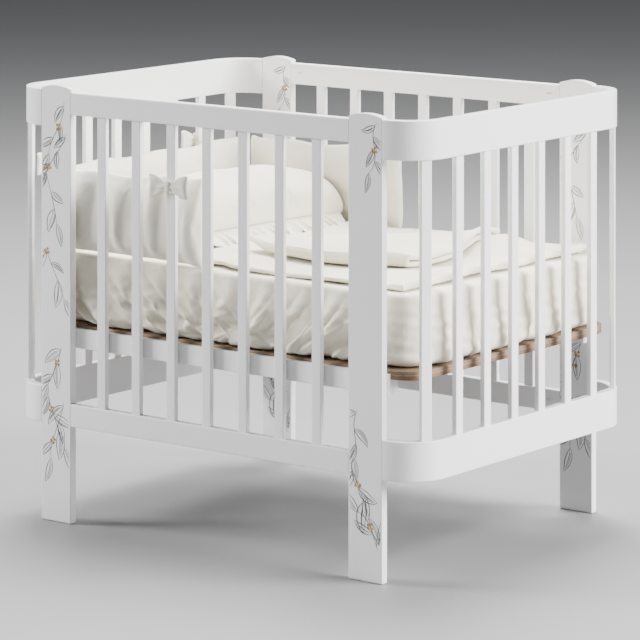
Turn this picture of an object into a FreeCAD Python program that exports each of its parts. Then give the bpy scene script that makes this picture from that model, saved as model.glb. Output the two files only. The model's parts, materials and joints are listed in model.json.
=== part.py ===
"""Baby crib with rounded ends, a height-adjustable base and its bedding, in millimetres.

Frame: X runs along the length, -Y is the front, +Z is up. The origin is on the
floor, under the middle of the crib.
"""
import FreeCAD, Part
import math
import os
import Sketcher
from FreeCAD import Placement, Rotation, Vector

SIZES = [
    # posts, flat boards that stand at the ends of the long sides
    ("post_span", 800), ("post_width", 74), ("post_thickness", 16), ("crib_width", 684),
    ("post_height", 814), ("post_arch", 6), ("edge_round", 2), ("foot_round", 3),
    # long side rails
    ("rail_height", 42), ("rail_thickness", 16), ("bottom_rail_z", 183), ("top_rail_z", 767),
    # teething covers that clip over the top rails
    ("cover_height", 10), ("cover_wall", 1.5), ("cover_gap", 0.1), ("cover_round", 3),
    # curved end bands
    ("band_height", 70), ("band_thickness", 16), ("bottom_band_z", 183), ("top_band_z", 742),
    ("bend_lead", 5), ("bend_radius", 75),
    # slats
    ("slat_width", 21), ("slat_thickness", 10), ("slat_round", 2), ("mortise_depth", 12),
    ("mortise_gap", 0.15), ("side_slats", 7), ("end_slats", 6),
    # dowels and cam fittings
    ("dowel_radius", 3), ("dowel_reach", 12), ("pin_gap", 0.05), ("rail_dowel_z", 9),
    ("band_dowel_inset", 16), ("cam_radius", 6), ("cam_depth", 12), ("cam_from_end", 24),
    ("cam_z", 24), ("cam_bolt_radius", 2.5), ("cam_head_radius", 3.4),
    # base: two support rails bolted to the posts and a plywood panel let into them
    ("base_top_z", 370), ("panel_thickness", 15), ("panel_proud", 5), ("panel_end_gap", 14),
    ("panel_corner", 50), ("panel_gap", 0.3), ("support_depth", 30), ("support_height", 37),
    ("support_lip", 8.5), ("support_gap", 0.5), ("vent_width", 14), ("vent_length", 210),
    ("vent_pitch", 64), ("vent_count", 12), ("vent_row", 125),
    # fasteners of the base
    ("bolt_radius", 3), ("bolt_head_radius", 6), ("bolt_head_height", 3), ("bolt_gap", 0.3),
    ("bolt_from_bottom", 14), ("level_step", 65), ("levels_below", 2), ("levels_above", 1),
    ("insert_radius", 4.5), ("insert_length", 11), ("insert_bore", 2.6), ("screw_radius", 1.9),
    ("screw_head_radius", 3.8), ("screw_length", 26), ("screw_inset", 11), ("screw_span", 640),
    # mattress and its fitted sheet
    ("mattress_end_gap", 22), ("mattress_side_gap", 24), ("mattress_height", 129),
    ("mattress_corner", 62), ("mattress_round", 16), ("sheet_wall", 1), ("sheet_gap", 0.3),
    ("hem_inset", 60), ("soft_gap", 0.6),
    # blankets
    ("blanket_height", 9), ("blanket_left", -128), ("blanket_right", 424), ("blanket_width", 544),
    ("blanket_corner", 40), ("blanket_round", 3), ("fold_height", 24), ("fold_left", -68),
    ("fold_right", 312), ("fold_front", -186), ("fold_back", 236), ("fold_round", 9),
    # pillow with its flounce
    ("pillow_x", -283.5), ("pillow_y", 48.5), ("pillow_length", 237), ("pillow_width", 427),
    ("pillow_height", 118), ("pillow_corner", 50), ("pillow_round", 34), ("flounce_width", 34),
    ("flounce_wall", 3), ("flounce_z", 26), ("flounce_gap", 0.5), ("flounce_squeezed", 8),
    # bumper cushions
    ("bumper_height", 158), ("bumper_depth", 44), ("bumper_inset", 9), ("bumper_round", 15),
    ("bumper_front_right", -42), ("bumper_back_right", -26), ("bumper_corner_gap", 6),
    # bows that tie the bumpers to the slats
    ("bow_length", 88), ("bow_height", 42), ("bow_depth", 8), ("knot_width", 13),
    ("knot_height", 24), ("bow_gap", 0.6), ("bow_drop", 6), ("tie_wall", 1.2),
]

doc = FreeCAD.newDocument("baby_crib")
sheet = doc.addObject("Spreadsheet::Sheet", "sizes")
for row, (alias, number) in enumerate(SIZES, start=1):
    sheet.set(f"A{row}", alias)
    sheet.set(f"B{row}", str(number))
    sheet.setAlias(f"B{row}", alias)
doc.recompute()


class Size:
    """A length that knows its value and the sheet expression that it comes from."""

    def __init__(self, value, text):
        self.value = float(value)
        self.text = text

    def __add__(self, other):
        other = as_size(other)
        return Size(self.value + other.value, f"({self.text} + {other.text})")

    def __sub__(self, other):
        other = as_size(other)
        return Size(self.value - other.value, f"({self.text} - {other.text})")

    def __mul__(self, other):
        other = as_size(other)
        return Size(self.value * other.value, f"({self.text} * {other.text})")

    def __truediv__(self, other):
        other = as_size(other)
        return Size(self.value / other.value, f"({self.text} / {other.text})")

    def __radd__(self, other):
        return as_size(other) + self

    def __rsub__(self, other):
        return as_size(other) - self

    def __rmul__(self, other):
        return as_size(other) * self

    def __neg__(self):
        return as_size(-1) * self


def as_size(number):
    """A plain number as a Size; a Size stays what it is."""
    return number if isinstance(number, Size) else Size(number, f"({number})")


def degrees_sin(angle):
    """Sine of an angle in degrees."""
    angle = as_size(angle)
    return Size(math.sin(math.radians(angle.value)), f"sin({angle.text})")


def degrees_cos(angle):
    """Cosine of an angle in degrees."""
    angle = as_size(angle)
    return Size(math.cos(math.radians(angle.value)), f"cos({angle.text})")


class Sheet:
    """The driving dimensions by name, such as S.post_width."""

    def __getattr__(self, alias):
        return Size(getattr(sheet, alias), f"sizes.{alias}")


S = Sheet()
exported = []

# ---------------------------------------------------------------- drawing tools


def bind(item, prop, size):
    """Set a property to a size and keep it bound to the sheet."""
    item.setExpression(prop, as_size(size).text)


def place(item, x=0, y=0, z=0, turn=None):
    """Put an object at a bound position, turned about Z when turn gives degrees."""
    if turn is not None:
        item.Placement = Placement(Vector(0, 0, 0), Rotation(Vector(0, 0, 1), as_size(turn).value))
        bind(item, "Placement.Rotation.Angle", turn)
    for prop, size in (("x", x), ("y", y), ("z", z)):
        bind(item, f"Placement.Base.{prop}", size)


def keep(item, label):
    """Name an object as a sub-part that is written out."""
    item.Label = label
    exported.append(item)
    return item


def new_body(label):
    """An empty PartDesign body."""
    body = doc.addObject("PartDesign::Body", "Body_" + label)
    body.Label = label + "_body"
    return body


def new_sketch(body, role, offset=0):
    """A sketch on one of the body's origin planes, moved along the plane's normal."""
    base = [plane for plane in body.Origin.OriginFeatures if plane.Role == role][0]
    sketch = body.newObject("Sketcher::SketchObject", f"{body.Name}_sketch")
    sketch.AttachmentSupport = (base, [""])
    sketch.MapMode = "FlatFace"
    bind(sketch, "AttachmentOffset.Base.z", offset)
    return sketch


def hold(sketch, kind, geometry, vertex, size):
    """Hold one coordinate of a vertex at a bound size."""
    size = as_size(size)
    number = sketch.addConstraint(Sketcher.Constraint(kind, geometry, vertex, size.value))
    sketch.setExpression(f"Constraints[{number}]", size.text)


def pin_point(sketch, geometry, vertex, x, y):
    """Hold one vertex of a sketch at bound coordinates."""
    hold(sketch, "DistanceX", geometry, vertex, x)
    hold(sketch, "DistanceY", geometry, vertex, y)


def nearest_vertex(sketch, geometry, point):
    """Which end of a curve, 1 or 2, lies at a point."""
    start = sketch.getPoint(geometry, 1).distanceToPoint(point)
    end = sketch.getPoint(geometry, 2).distanceToPoint(point)
    return 1 if start < end else 2


def outline(sketch, corners, arcs=None):
    """A closed outline through the corners. arcs gives {first corner: (centre, middle point)}."""
    arcs = arcs or {}
    spots = [Vector(as_size(x).value, as_size(y).value, 0) for x, y in corners]
    count = len(corners)
    curves = []
    for index in range(count):
        first, last = spots[index], spots[(index + 1) % count]
        if index in arcs:
            middle = Vector(*[as_size(value).value for value in arcs[index][1]], 0)
            curves.append(sketch.addGeometry(Part.Arc(first, middle, last), False))
        else:
            curves.append(sketch.addGeometry(Part.LineSegment(first, last), False))
    for index, (x, y) in enumerate(corners):
        here, before = curves[index], curves[index - 1]
        end_here = nearest_vertex(sketch, here, spots[index])
        end_before = nearest_vertex(sketch, before, spots[index])
        sketch.addConstraint(Sketcher.Constraint("Coincident", here, end_here, before, end_before))
        pin_point(sketch, here, end_here, x, y)
    for index, (centre, _) in arcs.items():
        # the ends already hold the centre on their bisector, so one coordinate places it
        chord = spots[(index + 1) % count] - spots[index]
        kind, size = ("DistanceX", centre[0]) if abs(chord.y) > abs(chord.x) else ("DistanceY", centre[1])
        hold(sketch, kind, curves[index], 3, size)


def rectangle(sketch, x_low, y_low, x_high, y_high):
    """An upright rectangle."""
    outline(sketch, [(x_low, y_low), (x_high, y_low), (x_high, y_high), (x_low, y_high)])


def rounded_rectangle(sketch, half_x, half_y, radius, centre=(0, 0)):
    """A rectangle with quarter-round corners, about a centre."""
    centre_x, centre_y = as_size(centre[0]), as_size(centre[1])
    bulge = radius * (1 - math.sqrt(0.5))
    corners, arcs = [], {}
    for sign_x, sign_y, along_x in ((1, -1, True), (1, 1, False), (-1, 1, True), (-1, -1, False)):
        tip_x, tip_y = centre_x + sign_x * half_x, centre_y + sign_y * half_y
        on_side = (tip_x, tip_y - sign_y * radius)
        on_end = (tip_x - sign_x * radius, tip_y)
        centre_of_arc = (tip_x - sign_x * radius, tip_y - sign_y * radius)
        arcs[len(corners)] = (centre_of_arc, (tip_x - sign_x * bulge, tip_y - sign_y * bulge))
        corners += [on_end, on_side] if along_x else [on_side, on_end]
    outline(sketch, corners, arcs)


def circles(sketch, centres, radius):
    """Equal circles about bound centres."""
    radius = as_size(radius)
    for x, y in centres:
        centre = Vector(as_size(x).value, as_size(y).value, 0)
        ring = sketch.addGeometry(Part.Circle(centre, Vector(0, 0, 1), radius.value), False)
        pin_point(sketch, ring, 3, x, y)
        number = sketch.addConstraint(Sketcher.Constraint("Radius", ring, radius.value))
        sketch.setExpression(f"Constraints[{number}]", radius.text)


def pad(body, sketch, length, middle=False, backwards=False):
    """Raise a sketch into a solid."""
    feature = body.newObject("PartDesign::Pad", f"{body.Name}_pad")
    feature.Profile = sketch
    feature.Midplane = middle
    feature.Reversed = backwards
    bind(feature, "Length", length)
    doc.recompute()
    return feature


def pocket(body, sketch, depth, backwards=False):
    """Cut a sketch into the solid, and make sure that it took something away."""
    before = body.Shape.Volume
    feature = body.newObject("PartDesign::Pocket", f"{body.Name}_pocket")
    feature.Profile = sketch
    feature.Reversed = backwards
    bind(feature, "Length", depth)
    doc.recompute()
    if not body.Shape.Volume < before - 0.1:
        raise RuntimeError(f"{body.Label}: a pocket cuts nothing")
    return feature


def row_of(body, feature, role, length, occurrences):
    """Repeat a feature along one of the body's axes."""
    axis = [line for line in body.Origin.OriginFeatures if line.Role == role][0]
    pattern = body.newObject("PartDesign::LinearPattern", f"{body.Name}_row")
    pattern.Originals = [feature]
    pattern.Direction = (axis, [""])
    bind(pattern, "Length", length)
    bind(pattern, "Occurrences", occurrences)
    body.Tip = pattern
    doc.recompute()
    return pattern


def round_edges(body, wanted, radius):
    """Fillet those edges of a body that the test picks."""
    tip = body.Tip
    names = [f"Edge{number}" for number, edge in enumerate(tip.Shape.Edges, start=1) if wanted(edge)]
    fillet = body.newObject("PartDesign::Fillet", f"{body.Name}_fillet")
    fillet.Base = (tip, names)
    bind(fillet, "Radius", radius)
    doc.recompute()
    return fillet


def runs_along(axis):
    """A test for straight edges that run along an axis."""
    def test(edge):
        return edge.Curve.TypeId == "Part::GeomLine" and abs(abs(edge.tangentAt(edge.FirstParameter)
                                                                 .dot(axis)) - 1) < 1e-6
    return test


def lies_at(heights):
    """A test for edges that lie flat at one of the heights."""
    def test(edge):
        box = edge.BoundBox
        return any(abs(box.ZMin - z) < 1e-4 and abs(box.ZMax - z) < 1e-4 for z in heights)
    return test


def cylinder(name, radius, length, x, y, z, axis):
    """A cylinder from a point along an axis, with a bound place and size."""
    item = doc.addObject("Part::Cylinder", name)
    bind(item, "Radius", radius)
    bind(item, "Height", length)
    item.Placement = Placement(Vector(0, 0, 0), Rotation(Vector(0, 0, 1), axis))
    for prop, size in (("x", x), ("y", y), ("z", z)):
        bind(item, f"Placement.Base.{prop}", size)
    return item


def cut(name, base, tool):
    """One solid less another."""
    item = doc.addObject("Part::Cut", name)
    item.Base, item.Tool = base, tool
    return item


def fuse(name, items):
    """Solids joined into one."""
    item = doc.addObject("Part::MultiFuse", name)
    item.Shapes = items
    return item


def group(label, items):
    """Separate solids kept as one named group."""
    item = doc.addObject("Part::Compound", "Group_" + label)
    item.Links = items
    return keep(item, label)


def rounded_block(label, half_x, half_y, height, corner, edge, x, y, z, turn=None):
    """A soft block: a rounded rectangle raised to a height, with all its arrises rounded."""
    body = new_body(label)
    sketch = new_sketch(body, "XY_Plane")
    rounded_rectangle(sketch, half_x, half_y, corner)
    pad(body, sketch, height)
    round_edges(body, lies_at([0, as_size(height).value]), edge)
    place(body, x, y, z, turn)
    return body


# ---------------------------------------------------------------- shared places

half_span = S.post_span / 2
outer_y = S.crib_width / 2
inner_y = outer_y - S.post_thickness
end_x = half_span + S.bend_lead + S.bend_radius
rail_length = S.post_span - 2 * S.post_width
bend_x = end_x - S.bend_radius
bend_y = outer_y - S.bend_radius
middle_radius = S.bend_radius - S.band_thickness / 2
end_middle_x = end_x - S.band_thickness / 2
rail_middle = S.rail_thickness / 2

side_pitch = (rail_length - S.side_slats * S.slat_width) / (S.side_slats + 1) + S.slat_width
bend_length = middle_radius * Size(math.pi / 2, "(pi / 2)")
end_path = 2 * (bend_y + bend_length + (bend_x - half_span))
end_slot_count = S.end_slats + 2
end_pitch = (end_path - end_slot_count * S.slat_width) / (end_slot_count + 1) + S.slat_width
# the outermost slat of an end stands on the bend: its angle from the line of the end wall
last_slat = end_pitch * (end_slot_count - 1) / 2
bend_angle = (last_slat - bend_y) / middle_radius * Size(180 / math.pi, "(180 / pi)")
last_slat_x = bend_x + middle_radius * degrees_cos(bend_angle)
last_slat_y = bend_y + middle_radius * degrees_sin(bend_angle)

slat_bottom = S.bottom_rail_z + S.rail_height - S.mortise_depth + S.mortise_gap
slat_top = S.top_rail_z + S.mortise_depth - S.mortise_gap
end_slat_bottom = S.bottom_band_z + S.band_height - S.mortise_depth + S.mortise_gap
end_slat_top = S.top_band_z + S.mortise_depth - S.mortise_gap
mortise_half = S.slat_width / 2 + S.mortise_gap
mortise_side = S.slat_thickness / 2 + S.mortise_gap

support_outer = inner_y - S.support_gap
support_inner = support_outer - S.support_depth
support_top = S.base_top_z - S.panel_proud
support_bottom = support_top - S.support_height
rebate_depth = S.panel_thickness - S.panel_proud
panel_bottom = S.base_top_z - S.panel_thickness
panel_half_y = support_outer - S.support_lip - S.panel_gap
panel_half_x = end_x - S.band_thickness - S.panel_end_gap
bolt_z = support_bottom + S.bolt_from_bottom
post_middle = half_span - S.post_width / 2
screw_y = panel_half_y - S.screw_inset

mattress_half_x = end_x - S.band_thickness - S.mattress_end_gap
mattress_half_y = inner_y - S.mattress_side_gap

ALONG_X, ALONG_Y, ALONG_Z = Vector(1, 0, 0), Vector(0, 1, 0), Vector(0, 0, 1)
CORNERS = [("front_left", -1, -1), ("front_right", 1, -1), ("back_left", -1, 1), ("back_right", 1, 1)]

# ---------------------------------------------------------------- posts


def make_post(label, side_x, side_y):
    """A board with a shallow arched top, drilled for both rails, both bands and the base."""
    body = new_body(label)
    half = S.post_width / 2
    sketch = new_sketch(body, "XZ_Plane")
    rise = S.post_arch
    arch_radius = (half * half + rise * rise) / (2 * rise)
    outline(sketch,
            [(-half, 0), (half, 0), (half, S.post_height), (-half, S.post_height)],
            {2: ((0, S.post_height + rise - arch_radius), (0, S.post_height + rise))})
    pad(body, sketch, S.post_thickness, middle=True)
    round_edges(body, runs_along(ALONG_Z), S.edge_round)
    round_edges(body, lies_at([0]), S.foot_round)

    rail_side = -side_x
    rails = (S.bottom_rail_z, S.top_rail_z)
    bands = (S.bottom_band_z, S.top_band_z)
    rail_holes = new_sketch(body, "YZ_Plane", rail_side * half)
    circles(rail_holes, [(0, z + S.rail_dowel_z) for z in rails], S.dowel_radius + S.pin_gap)
    pocket(body, rail_holes, S.dowel_reach + S.pin_gap, backwards=rail_side < 0)
    cam_holes = new_sketch(body, "YZ_Plane", rail_side * half)
    circles(cam_holes, [(0, z + S.cam_z) for z in rails], S.cam_bolt_radius + S.pin_gap)
    pocket(body, cam_holes, S.dowel_reach + S.pin_gap, backwards=rail_side < 0)
    band_holes = new_sketch(body, "YZ_Plane", side_x * half)
    heights = [z + S.band_dowel_inset for z in bands]
    heights += [z + S.band_height - S.band_dowel_inset for z in bands]
    circles(band_holes, [(0, z) for z in heights], S.dowel_radius + S.pin_gap)
    pocket(body, band_holes, S.dowel_reach + S.pin_gap, backwards=side_x < 0)

    # threaded inserts for the base sit in the face that looks into the crib
    inner_face = side_y * S.post_thickness / 2
    insert_holes = new_sketch(body, "XZ_Plane", inner_face)
    circles(insert_holes, [(0, z) for z in level_heights()], S.insert_radius + S.pin_gap)
    pocket(body, insert_holes, S.insert_length + S.pin_gap, backwards=side_y < 0)
    place(body, side_x * post_middle, side_y * (outer_y - S.post_thickness / 2), 0)
    keep(body, label)


def level_heights():
    """Heights of the base bolts at every level, from the lowest to the highest."""
    below, above = int(S.levels_below.value), int(S.levels_above.value)
    return [bolt_z + step * S.level_step for step in range(-below, above + 1)]


for corner, side_x, side_y in CORNERS:
    make_post("post_" + corner, side_x, side_y)

# ---------------------------------------------------------------- long rails


def make_rail(label, side_y, is_top):
    """A long rail with blind mortises; a top rail is stepped in for its teething cover."""
    body = new_body(label)
    half = S.rail_thickness / 2
    sketch = new_sketch(body, "YZ_Plane")
    if is_top:
        neck = half - S.cover_wall - S.cover_gap
        shoulder = S.rail_height - S.cover_height
        crown = S.rail_height - S.cover_wall - S.cover_gap
        outline(sketch, [(-half, 0), (half, 0), (half, shoulder), (neck, shoulder), (neck, crown),
                         (-neck, crown), (-neck, shoulder), (-half, shoulder)])
        rounded = [0]
    else:
        rectangle(sketch, -half, 0, half, S.rail_height)
        rounded = [0, S.rail_height.value]
    pad(body, sketch, rail_length, middle=True)
    along = runs_along(ALONG_X)
    at_height = lies_at(rounded)
    round_edges(body, lambda edge: along(edge) and at_height(edge), S.edge_round)

    first = -side_pitch * (S.side_slats - 1) / 2
    mortise = new_sketch(body, "XY_Plane", 0 if is_top else S.rail_height)
    rectangle(mortise, first - mortise_half, -mortise_side, first + mortise_half, mortise_side)
    cutting = pocket(body, mortise, S.mortise_depth, backwards=is_top)
    row_of(body, cutting, "X_Axis", side_pitch * (S.side_slats - 1), S.side_slats)

    for end in (-1, 1):
        dowel_hole = new_sketch(body, "YZ_Plane", end * rail_length / 2)
        circles(dowel_hole, [(0, S.rail_dowel_z)], S.dowel_radius + S.pin_gap)
        pocket(body, dowel_hole, S.dowel_reach + S.pin_gap, backwards=end < 0)
        bolt_hole = new_sketch(body, "YZ_Plane", end * rail_length / 2)
        circles(bolt_hole, [(0, S.cam_z)], S.cam_head_radius + S.pin_gap)
        pocket(body, bolt_hole, S.cam_from_end, backwards=end < 0)
    cam_seats = new_sketch(body, "XZ_Plane", side_y * half)
    reach = rail_length / 2 - S.cam_from_end
    circles(cam_seats, [(-reach, S.cam_z), (reach, S.cam_z)], S.cam_radius + S.pin_gap)
    pocket(body, cam_seats, S.cam_depth, backwards=side_y < 0)
    place(body, 0, side_y * (outer_y - half), S.top_rail_z if is_top else S.bottom_rail_z)
    keep(body, label)


def make_cover(label, side_y):
    """A teething cover: a soft channel clipped over the top of a rail."""
    body = new_body(label)
    half = S.rail_thickness / 2
    inside = half - S.cover_wall
    roof = S.cover_height - S.cover_wall
    foot = S.cover_gap
    sketch = new_sketch(body, "YZ_Plane")
    outline(sketch, [(-half, foot), (-inside, foot), (-inside, roof), (inside, roof), (inside, foot),
                     (half, foot), (half, S.cover_height), (-half, S.cover_height)])
    pad(body, sketch, rail_length - 2 * S.cover_gap, middle=True)
    along, at_top = runs_along(ALONG_X), lies_at([S.cover_height.value])
    round_edges(body, lambda edge: along(edge) and at_top(edge), S.cover_round)
    place(body, 0, side_y * (outer_y - half), S.top_rail_z + S.rail_height - S.cover_height)
    keep(body, label)


for name, side_y in (("front", -1), ("back", 1)):
    make_rail(f"rail_{name}_top", side_y, True)
    make_rail(f"rail_{name}_bottom", side_y, False)
    make_cover(f"teething_cover_{name}", side_y)

# ---------------------------------------------------------------- end bands


def make_bend(label, side_x, side_y, is_top):
    """A bent corner of an end band, from the post round to the straight end board."""
    body = new_body(label)
    inner_radius = S.bend_radius - S.band_thickness
    diagonal = math.sqrt(0.5)
    start_x = half_span

    def at(x, y):
        return (side_x * x, side_y * y)

    outer_mid = at(bend_x + S.bend_radius * diagonal, bend_y + S.bend_radius * diagonal)
    inner_mid = at(bend_x + inner_radius * diagonal, bend_y + inner_radius * diagonal)
    sketch = new_sketch(body, "XY_Plane")
    outline(sketch,
            [at(start_x, outer_y), at(bend_x, outer_y), at(end_x, bend_y),
             at(end_x - S.band_thickness, bend_y), at(bend_x, outer_y - S.band_thickness),
             at(start_x, outer_y - S.band_thickness)],
            {1: (at(bend_x, bend_y), outer_mid), 3: (at(bend_x, bend_y), inner_mid)})
    pad(body, sketch, S.band_height)
    skip_x, skip_y = side_x * half_span.value, side_y * bend_y.value

    def arris(edge):
        """Every long arris; the joint faces at both ends stay sharp."""
        box = edge.BoundBox
        on_post = abs(box.XMin - skip_x) < 1e-4 and abs(box.XMax - skip_x) < 1e-4
        on_board = abs(box.YMin - skip_y) < 1e-4 and abs(box.YMax - skip_y) < 1e-4
        return lies_at([0, S.band_height.value])(edge) and not on_post and not on_board

    round_edges(body, arris, S.edge_round)

    along = (-degrees_sin(bend_angle), degrees_cos(bend_angle))
    across = (degrees_cos(bend_angle), degrees_sin(bend_angle))
    corners = []
    for first, second in ((-1, -1), (1, -1), (1, 1), (-1, 1)):
        x = last_slat_x + first * mortise_half * along[0] + second * mortise_side * across[0]
        y = last_slat_y + first * mortise_half * along[1] + second * mortise_side * across[1]
        corners.append(at(x, y))
    mortise = new_sketch(body, "XY_Plane", 0 if is_top else S.band_height)
    outline(mortise, corners)
    pocket(body, mortise, S.mortise_depth, backwards=is_top)

    holes = new_sketch(body, "YZ_Plane", side_x * start_x)
    middle_y = side_y * (outer_y - S.band_thickness / 2)
    heights = (S.band_dowel_inset, S.band_height - S.band_dowel_inset)
    circles(holes, [(middle_y, z) for z in heights], S.dowel_radius + S.pin_gap)
    pocket(body, holes, S.dowel_reach + S.pin_gap, backwards=side_x > 0)
    place(body, 0, 0, S.top_band_z if is_top else S.bottom_band_z)
    keep(body, label)


def make_end_board(label, side_x, is_top):
    """The straight board of an end band, mortised for its slats."""
    body = new_body(label)
    half = S.band_thickness / 2
    sketch = new_sketch(body, "XZ_Plane")
    rectangle(sketch, -half, 0, half, S.band_height)
    pad(body, sketch, 2 * bend_y, middle=True)
    round_edges(body, runs_along(ALONG_Y), S.edge_round)
    first = -end_pitch * (S.end_slats - 1) / 2
    mortise = new_sketch(body, "XY_Plane", 0 if is_top else S.band_height)
    rectangle(mortise, -mortise_side, first - mortise_half, mortise_side, first + mortise_half)
    cutting = pocket(body, mortise, S.mortise_depth, backwards=is_top)
    row_of(body, cutting, "Y_Axis", end_pitch * (S.end_slats - 1), S.end_slats)
    place(body, side_x * end_middle_x, 0, S.top_band_z if is_top else S.bottom_band_z)
    keep(body, label)


for level, is_top in (("bottom", False), ("top", True)):
    for corner, side_x, side_y in CORNERS:
        make_bend(f"bend_{corner}_{level}", side_x, side_y, is_top)
    for name, side_x in (("left", -1), ("right", 1)):
        make_end_board(f"end_board_{name}_{level}", side_x, is_top)

# ---------------------------------------------------------------- slats


def make_slat(label, low, high, x, y, turn):
    """A slat with rounded arrises, its broad face square to the wall that it stands in."""
    body = new_body(label)
    sketch = new_sketch(body, "XY_Plane")
    half, side = S.slat_width / 2, S.slat_thickness / 2
    rectangle(sketch, -half, -side, half, side)
    pad(body, sketch, high - low)
    round_edges(body, runs_along(ALONG_Z), S.slat_round)
    place(body, x, y, low, turn)
    return body


for name, side_y in (("front", -1), ("back", 1)):
    for number in range(int(S.side_slats.value)):
        along_rail = side_pitch * (number - (S.side_slats - 1) / 2)
        slat = make_slat(f"slat_{name}_{number + 1}", slat_bottom, slat_top,
                         along_rail, side_y * (outer_y - rail_middle), 0)
        keep(slat, f"slat_{name}_{number + 1}")

for name, side_x in (("left", -1), ("right", 1)):
    slats = []
    for number in range(int(S.end_slats.value)):
        along_board = end_pitch * (number - (S.end_slats - 1) / 2)
        slats.append(make_slat(f"end_slat_{name}_{number + 1}", end_slat_bottom, end_slat_top,
                               side_x * end_middle_x, along_board, 90))
    for side_y in (-1, 1):
        turn = 90 + side_x * side_y * bend_angle
        slats.append(make_slat(f"bend_slat_{name}_{side_y + 1}", end_slat_bottom, end_slat_top,
                               side_x * last_slat_x, side_y * last_slat_y, turn))
    group(f"end_slats_{name}", slats)

# ---------------------------------------------------------------- base


def make_support_rail(label, side_y):
    """A rail bolted to two posts, rebated along its top for the panel."""
    body = new_body(label)

    def at(y, z):
        return (side_y * y, z)

    sketch = new_sketch(body, "YZ_Plane")
    step = support_outer - S.support_lip
    outline(sketch, [at(support_inner, 0), at(support_outer, 0), at(support_outer, S.support_height),
                     at(step, S.support_height), at(step, S.support_height - rebate_depth),
                     at(support_inner, S.support_height - rebate_depth)])
    pad(body, sketch, S.post_span, middle=True)
    outer_edge = lies_at([0])
    along = runs_along(ALONG_X)
    round_edges(body, lambda edge: along(edge) and outer_edge(edge), S.edge_round)
    bolts = new_sketch(body, "XZ_Plane", -side_y * support_inner)
    spots = [(end * post_middle, S.bolt_from_bottom) for end in (-1, 1)]
    circles(bolts, spots, S.bolt_radius + S.bolt_gap)
    pocket(body, bolts, S.support_depth, backwards=side_y < 0)
    pilots = new_sketch(body, "XY_Plane", S.support_height - rebate_depth)
    circles(pilots, [(x, side_y * screw_y) for x in screw_places()], S.screw_radius + S.pin_gap)
    pocket(body, pilots, S.screw_length - S.panel_thickness + S.pin_gap)
    place(body, 0, 0, support_bottom)
    keep(body, label)


def screw_places():
    """Where the panel's screws stand along the rails."""
    return [S.screw_span * share for share in (-0.5, -1 / 6, 1 / 6, 0.5)]


def make_panel():
    """The plywood base panel with two rows of vents and countersunk screw holes."""
    body = new_body("base_panel")
    sketch = new_sketch(body, "XY_Plane")
    rounded_rectangle(sketch, panel_half_x, panel_half_y, S.panel_corner)
    pad(body, sketch, S.panel_thickness)
    round_edges(body, lies_at([S.panel_thickness.value]), S.edge_round / 2)
    first = -S.vent_pitch * (S.vent_count - 1) / 2
    vents = new_sketch(body, "XY_Plane", S.panel_thickness)
    half_width, half_length = S.vent_width / 2, S.vent_length / 2 - S.vent_width / 2
    for side in (-1, 1):
        low, high = side * S.vent_row - half_length, side * S.vent_row + half_length
        outline(vents,
                [(first - half_width, low), (first + half_width, low),
                 (first + half_width, high), (first - half_width, high)],
                {0: ((first, low), (first, low - half_width)),
                 2: ((first, high), (first, high + half_width))})
    cutting = pocket(body, vents, S.panel_thickness)
    row_of(body, cutting, "X_Axis", S.vent_pitch * (S.vent_count - 1), S.vent_count)
    shanks = new_sketch(body, "XY_Plane", S.panel_thickness)
    spots = [(x, side * screw_y) for side in (-1, 1) for x in screw_places()]
    circles(shanks, spots, S.screw_radius + S.pin_gap)
    pocket(body, shanks, S.panel_thickness)
    heads = new_sketch(body, "XY_Plane", S.panel_thickness)
    circles(heads, spots, S.screw_head_radius + S.pin_gap)
    pocket(body, heads, S.screw_radius + S.pin_gap)
    place(body, 0, 0, panel_bottom)
    keep(body, "base_panel")


for name, side_y in (("front", -1), ("back", 1)):
    make_support_rail(f"support_rail_{name}", side_y)
make_panel()

# ---------------------------------------------------------------- fasteners


def make_dowels():
    """Wooden dowels between posts and rails and between posts and bends."""
    dowels = []
    length = 2 * S.dowel_reach
    for corner, side_x, side_y in CORNERS:
        y = side_y * (outer_y - rail_middle)
        joint_x = half_span - S.post_width
        rail_spots = [z + S.rail_dowel_z for z in (S.bottom_rail_z, S.top_rail_z)]
        band_spots = []
        for z in (S.bottom_band_z, S.top_band_z):
            band_spots += [z + S.band_dowel_inset, z + S.band_height - S.band_dowel_inset]
        for x, heights in ((joint_x, rail_spots), (half_span, band_spots)):
            start = side_x * x - S.dowel_reach
            for z in heights:
                dowels.append(cylinder(f"dowel_{corner}", S.dowel_radius, length, start, y, z, ALONG_X))
    group("dowels", dowels)


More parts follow.
